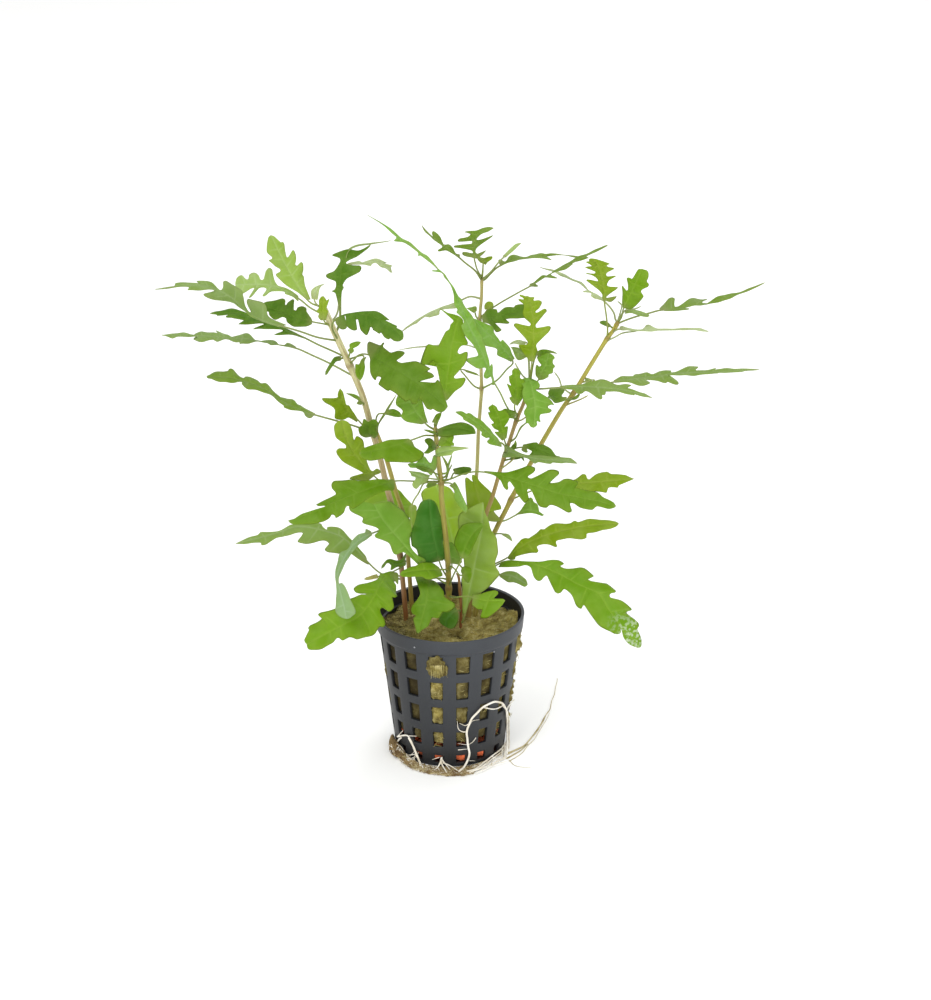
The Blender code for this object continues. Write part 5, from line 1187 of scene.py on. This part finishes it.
# %% [markdown]
# ## The pot
# The real pot is one moulding, about a millimetre thick. An open surface of revolution, with the holes left
# out of its grid, gets that thickness from Solidify, and Bevel rounds the edges as the mould does.

# %% The pot
POT_WALL = 1.0
HOLE_COLUMNS = 16
HOLE_PITCH = 360 / HOLE_COLUMNS
HOLE_PARTS = 4
RIB_PARTS = 4
HOLE_ROWS = [(1.6, 4.7), (8.3, 14.4), (17.8, 24.7), (27.9, 34.9), (38.3, 45.3)]
HOLE_HALF_ANGLES = (4.6, 5.9)
COLLAR_FOOT = 46.2
COLLAR = [(25.27, 46.3), (25.75, 46.45), (26.1, 46.8), (26.2, 47.4), (26.35, 49), (26.5, 51), (26.6, 51.7),
          (26.5, 52)]


def pot_radius(z):
    return 19.7 + 0.12 * z


def hole_half_angle(z):
    return np.interp(z, (0, 46.3), HOLE_HALF_ANGLES)


def make_pot():
    # Radius, height, and whether holes begin here: first the floor with its slots, then the wall
    profile = [(0, 0, False), (4, 0, False), (8, 0, True), (11, 0, True), (14.5, 0, False), (17.5, 0, False),
               (19.3, 0, False), (19.62, 0.12, False), (pot_radius(0.5), 0.5, False)]
    for low, high in HOLE_ROWS:
        profile += [(pot_radius(z), z, z < high) for z in np.linspace(low, high, 4)]
        profile.append((pot_radius(high + 1.2), high + 1.2, False))
    profile = [row for row in profile if row[1] < COLLAR_FOOT] + [(*row, False) for row in COLLAR]
    period = HOLE_PARTS + RIB_PARTS
    columns = HOLE_COLUMNS * period
    shares = np.linspace(-1, 1, HOLE_PARTS + 1)
    places = np.zeros((len(profile), columns + 1, 3))
    for row, (radius, z, _) in enumerate(profile):
        half = hole_half_angle(z)
        rib = HOLE_PITCH - 2 * half
        for column in range(columns + 1):
            hole, step = divmod(column % columns, period)
            turn = shares[step] * half if step <= HOLE_PARTS else half + rib * (step - HOLE_PARTS) / RIB_PARTS
            places[row, column] = round_axis(radius, math.radians((hole + 0.5) * HOLE_PITCH + turn), z)
    bm = new_bmesh()
    lay_grid(bm, places)
    bm.faces.ensure_lookup_table()
    holes = [face for index, face in enumerate(bm.faces)
             if profile[index // columns][2] and index % columns % period < HOLE_PARTS]
    bmesh.ops.delete(bm, geom=holes, context="FACES")
    bmesh.ops.remove_doubles(bm, verts=bm.verts, dist=1e-6)
    bmesh.ops.recalc_face_normals(bm, faces=bm.faces)
    pot = piece_from(bm, "net_pot", "pot_plastic", pot_outside, pot_inside, stands_for=["pot"])
    wall = pot.modifiers.new("Wall", "SOLIDIFY")
    wall.thickness = POT_WALL * MM
    wall.offset = -1
    wall.use_even_offset = True
    # The inner shell takes the darker copy of the plastic, painted shade
    wall.material_offset = 1
    edges = pot.modifiers.new("Moulded edges", "BEVEL")
    edges.width = 0.22 * MM
    edges.segments = 2
    edges.limit_method = "ANGLE"
    edges.angle_limit = math.radians(50)
    pot.data.set_sharp_from_angle(angle=math.radians(60))
    return pot


pot = make_pot()
print("pot", [round(size * 1000, 1) for size in pot.dimensions], "mm")

# %% Two pale nicks in the collar
scuffed_plastic, _, scuff_shader = new_material("scuffed_polypropylene", 0.7)
scuff_shader.inputs["Base Color"].default_value = linear("8C8E92")
bm = new_bmesh()
for degrees, radius, z in ((-27.5, 26.3, 48.6), (38.0, 25.3, 45.3)):
    nick = bmesh.ops.create_icosphere(bm, subdivisions=2, radius=0.32 * MM)["verts"]
    for vert in nick:
        vert.co += Vector(round_axis(radius, math.radians(degrees), z)) * MM
nicks = piece_from(bm, "collar_nicks", "pot_plastic", scuffed_plastic)
print("nicks", len(nicks.data.polygons), "faces")

# %% [markdown]
# ## Rockwool
# The plug fills the pot and presses out through the lattice. Its skin is a fine grid round the pot's axis,
# pushed out where a hole is, lumpy on top, and then covered with short loose fibres.

# %% The plug's form
WOOL_COLUMNS = 224
WOOL_FROM = 10.4
WOOL_TOP = 46.5
# Millimetres that the wool stands out of a hole: (column from the front, row from below)
BULGES = {
    (-1, 4): 2.4, (-1, 3): 2.5, (-1, 2): 2.5, (-1, 1): 2, (0, 4): 1.5, (0, 3): 1.8, (0, 2): 2.2, (0, 1): 1.5,
    (1, 4): 0.6, (1, 3): 0.7, (2, 4): 0.4, (2, 3): 0.8, (3, 4): 3, (3, 3): 2, (3, 2): 2.4, (3, 1): 2.4,
    (4, 4): 3.4, (4, 3): 2.8, (4, 2): 2.8, (4, 1): 2.4, (-4, 3): 1.8, (-5, 2): 1.6, (-4, 2): 1.4,
}
# Painted shade: how dark the wool is drawn in a column of holes, for the shade inside the holes
HOLE_SHADE = {-4: 0.75, -3: 0.97, -2: 0.93, -1: 0.4, 0: 0.7, 1: 0.85, 2: 0.6, 3: 0.3}


def column_at(degrees):
    """The column of holes at this angle from the front, counted to the right."""
    return (math.floor(degrees / HOLE_PITCH) + HOLE_COLUMNS // 2) % HOLE_COLUMNS - HOLE_COLUMNS // 2


def hole_shade(angle):
    return HOLE_SHADE.get(column_at(math.degrees(angle)), 0.5)


def wool_top(x, y):
    """The height of the plug's lumpy top."""
    rise = 3.0 * math.exp(-((x - 23) ** 2 + (y - 2) ** 2) / 60)
    pit = 4.5 * math.exp(-((x - 2.2) ** 2 + (y + 8) ** 2) / 7)
    pit += 3.0 * math.exp(-((x - 15) ** 2 + (y + 17) ** 2) / 30)
    lumps = 2.6 * noise.noise(Vector((x / 6, y / 6, 1.7))) + noise.noise(Vector((x / 2.2, y / 2.2, 4.1)))
    return WOOL_TOP + rise - pit + lumps


def wool_side(angle, z):
    """The distance from the axis of the plug's side."""
    degrees = math.degrees(angle)
    column = column_at(degrees)
    u = ((degrees % HOLE_PITCH) - HOLE_PITCH / 2) / hole_half_angle(z)
    radius = pot_radius(z) - POT_WALL - 0.3 + 0.9 * np.clip((z - 44.5) / 2, 0, 1)
    for row, (low, high) in enumerate(HOLE_ROWS):
        v = (2 * z - low - high) / (high - low)
        if abs(v) < 1.15 and abs(u) < 1.15:
            out = BULGES.get((column, row)) or random.Random(17 * column + row).uniform(0.2, 1.3)
            rough = 0.8 + 0.5 * noise.noise(Vector((degrees / 5, z / 2, 9)))
            radius += out * (1 - (u / 1.15) ** 4) * (1 - (v / 1.15) ** 4) * rough
    place = Vector((math.sin(angle) * 9, math.cos(angle) * 9, z / 2.5))
    return radius - 0.5 * abs(noise.noise(place)) - 0.3 * abs(noise.noise(place * 3))


def make_wool():
    heights = np.concatenate([[WOOL_FROM], np.arange(WOOL_FROM, WOOL_TOP - 0.4, 0.55)])
    shares = np.linspace(1, 0, 46)[1:]
    places = np.zeros((len(heights) + len(shares), WOOL_COLUMNS + 1, 3))
    damp = np.zeros(places.shape[:2])
    for column in range(WOOL_COLUMNS + 1):
        angle = 2 * math.pi * (column % WOOL_COLUMNS) / WOOL_COLUMNS
        hole_shading = hole_shade(angle)
        for row, z in enumerate(heights):
            spread = noise.noise(Vector((math.sin(angle) * 6, math.cos(angle) * 6, z / 4)))
            # Painted shade in the holes, varied by noise
            damp[row, column] = np.clip(hole_shading + 0.9 * spread * (1.1 - hole_shading), 0, 1)
            radius = wool_side(angle, z) * (0 if row == 0 else 1)
            places[row, column] = round_axis(radius, angle, z)
        edge = pot_radius(WOOL_TOP) - POT_WALL + 0.5
        for row, share in enumerate(shares):
            x, y, _ = round_axis(share * edge, angle, 0)
            places[len(heights) + row, column] = (x, y, wool_top(x, y))
            # Painted shade on the top: darker towards the left and in the pits
            damp[len(heights) + row, column] = max(np.clip((-7 - x) / 12, 0, 0.7),
                                                   np.clip((WOOL_TOP - 1.2 - wool_top(x, y)) / 1.5, 0, 0.9))
    bm = new_bmesh("damp")
    lay_grid(bm, places, damp=damp)
    close_up(bm)
    return piece_from(bm, "rockwool_plug", "rockwool", wool_mat, stands_for=["rockwool"])


wool = make_wool()
print("rockwool", len(wool.data.polygons), "faces")

# %% [markdown]
# Strands are made as one curve object with many splines, turned into a mesh at once. Each point has its own
# radius, so a fibre or a root tapers to nothing at its end.

# %% Strands
def strands_mesh(name, strands, roundness=0):
    """A mesh of thin strands. Each strand is its points and its radii, in millimetres."""
    curve = bpy.data.curves.new(name, "CURVE")
    curve.dimensions = "3D"
    curve.bevel_depth = MM
    curve.bevel_resolution = roundness
    curve.use_fill_caps = True
    for points, radii in strands:
        spline = curve.splines.new("POLY")
        spline.points.add(len(points) - 1)
        spline.points.foreach_set("co", np.column_stack([points * MM, np.ones(len(points))]).ravel())
        spline.points.foreach_set("radius", np.broadcast_to(radii, len(points)).astype(float))
    holder = bpy.data.objects.new(name, curve)
    bpy.context.scene.collection.objects.link(holder)
    bpy.context.view_layer.update()
    graph = bpy.context.evaluated_depsgraph_get()
    mesh = bpy.data.meshes.new_from_object(holder.evaluated_get(graph))
    bpy.data.objects.remove(holder)
    return mesh


def strands_piece(name, slot, material, strands, roundness=0, stands_for=()):
    bm = new_bmesh()
    bm.from_mesh(strands_mesh(name, strands, roundness))
    return piece_from(bm, name, slot, material, stands_for=stands_for)


print("strands are ready")

# %% The wool's fibres
def make_fibres(count):
    luck = random.Random(5)
    strands = []
    while len(strands) < count:
        if luck.random() < 0.62:
            share = math.sqrt(luck.random()) * 0.97
            angle = luck.uniform(0, 2 * math.pi)
            edge = pot_radius(WOOL_TOP) - POT_WALL - 0.5
            x, y, _ = round_axis(share * edge, angle, 0)
            start = np.array((x, y, wool_top(x, y) - 0.1))
            out = np.array((0, 0, 1.0))
            if start[2] < WOOL_TOP - 2:
                continue
        else:
            angle = luck.uniform(0, 2 * math.pi)
            row = luck.randrange(1, 5)
            z = luck.uniform(*HOLE_ROWS[row])
            radius = wool_side(angle, z)
            if radius < pot_radius(z) - POT_WALL or luck.random() < hole_shade(angle):
                continue
            start = np.array(round_axis(radius, angle, z))
            out = np.array(round_axis(1, angle, 0))
        way = np.array([luck.gauss(0, 1) for _ in range(3)])
        way = unit(way - 0.75 * (way @ out) * out)
        bend = np.array([luck.gauss(0, 0.5) for _ in range(3)])
        length = luck.uniform(1.0, 3.2)
        steps = np.linspace(-0.5, 0.5, 5)[:, None]
        points = start + out * 0.12 + length * steps * way + bend * (0.25 - steps ** 2)
        strands.append((points, np.array((0.01, 0.07, 0.08, 0.07, 0.01)) * luck.uniform(0.7, 1.3)))
    return strands_piece("rockwool_fibres", "rockwool", wool_fibre, strands)


fibres = make_fibres(5000)
print("fibres", len(fibres.data.polygons), "faces")

# %% [markdown]
# ## Clay pebbles
# Under the wool lies a layer of fired clay pebbles. Each is an icosphere with dents pressed in by noise.
# The three in front stand for solids, and the rest show through the holes round the pot.

# %% Pebbles
PEBBLES = {
    "pebble_left": (-5.4, -14.5, 3.9), "pebble_middle": (4.2, -15.0, 3.9), "pebble_right": (10.8, -11.6, 3.9),
}
FLATNESS = 0.87


def add_pebble(bm, x, y, radius, seed, detail=4):
    made = bmesh.ops.create_icosphere(bm, subdivisions=detail, radius=1)["verts"]
    middle = Vector((x, y, POT_WALL - 0.4 + radius * FLATNESS))
    offset = Vector((seed * 3.7, 0, 0))
    for vert in made:
        dent = 0.16 * abs(noise.noise(vert.co * 1.4 + offset)) + 0.05 * noise.noise(vert.co * 5 + offset)
        vert.co = (middle + vert.co * Vector((1, 1, FLATNESS)) * radius * (1 - dent)) * MM


def make_pebbles():
    pebbles = []
    for seed, (name, (x, y, radius)) in enumerate(PEBBLES.items()):
        bm = new_bmesh()
        add_pebble(bm, x, y, radius, seed)
        pebbles.append(piece_from(bm, name + "_clay", "clay", fired_clay, stands_for=[name]))
    bm = new_bmesh()
    for seed, degrees in enumerate(range(72, 340, 31)):
        x, y, _ = round_axis(14.4, math.radians(degrees), 0)
        add_pebble(bm, x, y, 3.6, seed + 10, detail=3)
    pebbles.append(piece_from(bm, "pebble_ring", "clay", fired_clay))
    return pebbles


pebbles = make_pebbles()
print(len(pebbles), "pieces of clay")

# %% [markdown]
# ## Roots
# Roots have grown out through the lattice. The thick ones lie on the pot's wall, so their places are put
# in front of the wall by searching along the line of sight.

# %% Places on the wall
def on_wall(across, up, off):
    """The point in front of the pot's wall, or on the ground, this far off, that shows at this place."""
    near, far = -60.0, 0.0
    for _ in range(40):
        depth = (near + far) / 2
        x, y, z = seen(across, up, depth)
        if math.hypot(x, y) > pot_radius(z) + off:
            near = depth
        else:
            far = depth
    place = seen(across, up, near)
    return place if place[2] > off else on_level(across, up, off)


def root_strand(places, thick, off, tip=0.3, wobble=0.12, seed=1):
    """A root that runs over the wall through these places and thins towards its tip."""
    route = np.array([on_wall(across, up, off) for across, up in in_mm(places, 2)])
    path = smooth_path(route, max(round(length_of(route) / 0.7), 4))
    for row, point in enumerate(path):
        shift = noise.noise_vector(Vector((row * 0.23, seed * 5.1, 0)))
        path[row] = point + np.array(shift) * wobble
    path[:, 2] = np.maximum(path[:, 2], thick)
    return path, np.linspace(thick, tip * thick, len(path))


print("the wall in front lies at", on_wall(0, 20, 0.5).round(2))

# %% The tuft
def make_tuft():
    """A rag of wool that hangs out of the top hole in front, and fibres at its edge."""
    bm = new_bmesh("damp")
    for across, up, wide, high in ((-4.9, 38.6, 3.1, 3.4), (-2.7, 37.4, 2.2, 2.2), (-4.2, 36.4, 2.2, 1.7)):
        made = bmesh.ops.create_icosphere(bm, subdivisions=4, radius=1)["verts"]
        for vert in made:
            x, y, z = vert.co * (1 + 0.3 * noise.noise(vert.co * 2.2 + Vector((across, 0, 0))))
            vert.co = Vector(on_wall(across + x * wide, up + z * high, 0.3 - y)) * MM
            # The rag is darkened by 0.6, painted shade like the wool's
            vert[bm.verts.layers.float["damp"]] = 0.6
    luck = random.Random(8)
    strands = []
    for _ in range(45):
        across, droop, lean = luck.gauss(-4.4, 1.3), luck.uniform(4, 6.4), luck.gauss(0, 0.8)
        places = [(across, 39, 1.4), (across + 0.5 * lean, 41 - droop, 1.5), (across + lean, 40.6 - droop, 1)]
        route = np.array([on_wall(*place) for place in places])
        strands.append((smooth_path(route, 7), np.linspace(0.09, 0.02, 8)))
    return [piece_from(bm, "rockwool_rag", "rockwool", wool_mat),
            strands_piece("rockwool_tuft", "rockwool", wool_fibre, strands)]


tuft = make_tuft()
print("the rag has", len(tuft[0].data.polygons), "faces")

# %% The big loop
LOOP_STRANDS = [
    ([33,20, 45,30, 60,50, 69,75, 68,100, 62,130, 63,170, 82,209, 113,240, 145,259, 172,262, 193,248,
    202,210, 202,155, 202,80], 0.4, 0.75), ([185,253, 203,225, 209,180, 208,100], 0.3, 0.7), ([123,242,
    160,238, 187,250], 0.26, 0.5), ([63,159, 45,159, 30,170, 26,195], 0.24, 0.4), ([68,186, 56,180, 35,188],
    0.2, 0.4), ([70,183, 80,196, 106,200], 0.16, 0.4), ([93,138, 80,122, 62,113, 30,118], 0.16, 0.4),
    ([30,95, 65,98], 0.18, 0.4), ([70,57, 90,56], 0.13, 0.4), ([200,235, 210,254, 226,270], 0.26, 0.4),
]
loop = strands_piece("root_loop_strands", "root", white_root, [
    root_strand(places, thick, off, tip=0.85 if thick > 0.25 else 0.3, wobble=0.2, seed=seed)
    for seed, (places, thick, off) in enumerate(LOOP_STRANDS)
], roundness=2, stands_for=["root_loop"])
print("the loop has", len(LOOP_STRANDS), "strands")

# %% The left loop and the roots in front
LEFT_STRANDS = [
    ([-182,142, -150,146, -138,133, -124,104, -110,70, -100,45, -92,32], 0.33, 0.8), ([-143,138, -130,112,
    -118,80, -107,55, -102,40], 0.3, 1), ([-180,143, -150,144, -116,143], 0.18, 0.5), ([-182,142, -172,152,
    -163,162], 0.18, 0.5), ([-170,138, -185,120, -190,100, -185,75, -170,55], 0.35, 0.5), ([-185,115,
    -170,105, -158,85, -154,58], 0.26, 0.5), ([-155,75, -115,80], 0.22, 0.5), ([-155,73, -145,55, -130,48],
    0.18, 0.5), ([-140,60, -125,68, -120,52], 0.18, 0.5), ([-117,80, -130,60, -142,50], 0.18, 0.5),
    ([-168,90, -148,65, -120,44], 0.12, 0.6), ([-155,36, -130,56, -108,86], 0.12, 0.7), ([-170,45, -140,70,
    -124,90], 0.1, 0.6),
]
CENTRE_STRANDS = [
    ([-28,68, -33,50, -45,30, -60,24], 0.33, 0.6), ([-27,68, -26,45, -10,15], 0.33, 0.6), ([-26,60, -10,40,
    2,25], 0.26, 0.6), ([-23,50, 0,40, 30,22], 0.26, 0.6), ([-30,50, -40,35, -35,20], 0.22, 0.6), ([-36,69,
    -60,60], 0.15, 0.4),
]
RIGHT_STRANDS = [
    ([60,20, 90,28, 120,50, 150,75, 180,98, 200,125], 0.33, 0.6), ([80,20, 120,40, 155,68, 185,92, 203,130],
    0.26, 0.8), ([70,16, 120,34, 160,50, 200,72], 0.26, 0.7), ([145,43, 158,72], 0.2, 0.5), ([145,73,
    180,60], 0.18, 0.5), ([182,75, 186,110], 0.22, 0.5), ([190,65, 195,100, 205,150], 0.3, 0.6), ([110,22,
    155,42, 200,55], 0.2, 0.9), ([90,12, 130,30, 170,62, 200,110], 0.12, 0.8), ([100,26, 145,60, 180,80,
    196,115], 0.1, 0.7),
]


def wall_roots(name, rows, first_seed, stands_for=()):
    strands = [root_strand(*row, tip=0.6, seed=first_seed + index) for index, row in enumerate(rows)]
    return strands_piece(name, "root", white_root, strands, roundness=2, stands_for=stands_for)


wall_roots("root_left_loop_strands", LEFT_STRANDS, 20, ["root_left_loop"])
wall_roots("root_bundles", CENTRE_STRANDS + RIGHT_STRANDS, 40)
print(len(LEFT_STRANDS) + len(CENTRE_STRANDS) + len(RIGHT_STRANDS), "strands in front")

# %% The long roots on the ground
LONG_ROOTS = [
    ([200,80, 230,95, 270,115, 310,170, 340,220, 365,280, 377,345], 0.22, 0.4), ([205,85, 250,105, 280,130,
    320,185, 353,240], 0.3, 0.3), ([210,55, 245,80, 270,105, 310,150, 350,225], 0.13, 0.4), ([200,65,
    240,88, 275,116], 0.25, 0.5), ([208,60, 225,40, 250,34, 285,33], 0.12, 0.4),
]


def ground_strand(places, thick, tip, seed):
    """A root that lies on the ground and thins towards its tip."""
    route = np.array([on_level(across, up, thick + 0.03) for across, up in in_mm(places, 2)])
    path = smooth_path(route, round(length_of(route) / 1.2))
    for row in range(1, len(path) - 1):
        shift = noise.noise_vector(Vector((row * 0.15, seed * 7.3, 2)))
        path[row, :2] += np.array(shift)[:2] * 0.6
    return path, np.linspace(thick, tip * thick, len(path))


strands_piece("root_long_strands", "root", straw_root, [
    ground_strand(places, thick, tip, seed) for seed, (places, thick, tip) in enumerate(LONG_ROOTS)
], roundness=2, stands_for=["root_long"])
print(len(LONG_ROOTS), "roots on the ground")

# %% [markdown]
# The felt round the foot is hundreds of fine roots matted together. A low lumpy bank gives it body, and
# strands wind round over it.

# %% The felt of roots
# Round the pot from the front: degrees, inner and outer distance from the axis, height
ROOT_MAT = np.array([
    (-88, 20.2, 21.6, 2.5), (-80, 20.3, 22, 4.2), (-64, 20.4, 24, 4.5), (-50, 20.6, 23.6, 2.5),
    (-41, 20.8, 24.4, 1.3), (-31, 20.9, 25.6, 0.7), (-10, 20.7, 26.4, 0.45), (10, 20.7, 27, 0.45),
    (18, 20.7, 26.4, 0.4), (26, 20.5, 23, 0.4), (34, 20.2, 21, 0.4), (80, 20, 20.7, 0.4),
]).T


def mat_place(degrees, around, depth):
    """A place on the felt: round the pot, round its section, and how deep in it from 1, its skin, to 0."""
    inner, outer, height = [np.interp(degrees, ROOT_MAT[0], row) for row in ROOT_MAT[1:]]
    distance = (outer + inner) / 2 + depth * (outer - inner) / 2 * math.cos(around)
    z = 0.1 + height / 2 + depth * height / 2 * math.sin(around)
    return np.array(round_axis(distance, math.radians(degrees), z))


def make_felt():
    degrees = np.linspace(-88, 76, 150)
    around = np.linspace(0, 2 * math.pi, 21)
    places = np.zeros((len(degrees), len(around), 3))
    for row, turn in enumerate(degrees):
        end = 0.35 if row in (0, len(degrees) - 1) else 1
        for column, ring in enumerate(around[:-1]):
            lump = 0.72 + 0.85 * noise.noise(Vector((turn / 4, math.cos(ring) * 2, math.sin(ring) * 2)))
            places[row, column] = mat_place(turn, ring, end * lump)
    places[:, -1] = places[:, 0]
    bm = new_bmesh("damp")
    # Painted shade: darker towards the left end, and darkest on the inner side, as the pot's shadow
    damp = np.clip((-35 - degrees) / 30, 0.4, 0.85)[:, None] + (0.5 - 0.5 * np.cos(around)) ** 2
    lay_grid(bm, places, damp=damp)
    close_up(bm)
    return piece_from(bm, "root_felt", "root", root_felt, stands_for=["root_mat"])


def felt_strand(luck, first):
    start = luck.uniform(first, 62)
    span = luck.uniform(6, 26)
    ring = luck.uniform(-0.3, math.pi + 0.2)
    count = 14
    path = []
    for step in range(count):
        turn = start + span * step / (count - 1)
        drift = ring + 1.7 * noise.noise(Vector((step * 0.4, start, span)))
        path.append(mat_place(turn, drift, 0.95 + 0.5 * noise.noise(Vector((step * 0.6, span, start)))))
    path = np.array(path)
    thick = luck.choice((0.1, 0.13, 0.18, 0.26)) * (1 if start < -45 else 0.65)
    path[:, 2] = np.maximum(path[:, 2], thick)
    radii = thick * np.sin(np.linspace(0.25, math.pi - 0.1, count)) ** 0.5
    return path, radii


def make_felt_strands(name, count, seed, material, first):
    luck = random.Random(seed)
    strands = [felt_strand(luck, first) for _ in range(count)]
    return strands_piece(name, "root", material, strands, roundness=1)


felt = make_felt()
felt_strands = [make_felt_strands("root_felt_tan", 330, 3, tan_root, -92),
                make_felt_strands("root_felt_straw", 110, 6, straw_root, -58),
                make_felt_strands("root_felt_white", 80, 4, white_root, -70)]
print("felt", len(felt.data.polygons), "faces and", sum(len(s.data.polygons) for s in felt_strands), "on it")

# %% [markdown]
# ## The studio
# A pale floor, a white sky, a large soft lamp from the upper left, a weaker one low in front and one
# behind, which lights the leaves through.

# %% Floor, lamps and sky
bm = new_bmesh()
bmesh.ops.create_grid(bm, x_segments=1, y_segments=1, size=6)
floor_mesh = bpy.data.meshes.new("floor")
bm.to_mesh(floor_mesh)
bm.free()
floor = bpy.data.objects.new("floor", floor_mesh)
bpy.context.scene.collection.objects.link(floor)
paper, _, paper_shader = new_material("white_paper", 0.9, Specular_IOR_Level=0.1)
paper_shader.inputs["Base Color"].default_value = linear("FBFBFA")
floor_mesh.materials.append(paper)


def add_lamp(name, place, size, power):
    lamp = bpy.data.lights.new(name, "AREA")
    lamp.size = size
    lamp.energy = power
    holder = bpy.data.objects.new(name, lamp)
    holder.location = place
    holder.rotation_euler = (Vector((0, 0, 0.1)) - Vector(place)).to_track_quat("-Z", "Y").to_euler()
    bpy.context.scene.collection.objects.link(holder)


add_lamp("key_lamp", (-0.6, -0.8, 1.3), 0.9, 9)
add_lamp("back_lamp", (0.6, 0.9, 1.0), 0.9, 6)
add_lamp("front_lamp", (0.15, -1.3, 0.35), 0.7, 5)
sky = bpy.data.worlds.new("sky")
sky.use_nodes = True
sky.node_tree.nodes["Background"].inputs["Strength"].default_value = 0.9
sky.node_tree.nodes["Background"].inputs["Color"].default_value = (1, 1, 1, 1)
bpy.context.scene.world = sky
bpy.context.scene.view_settings.view_transform = "Standard"
print("three lamps and a white sky")
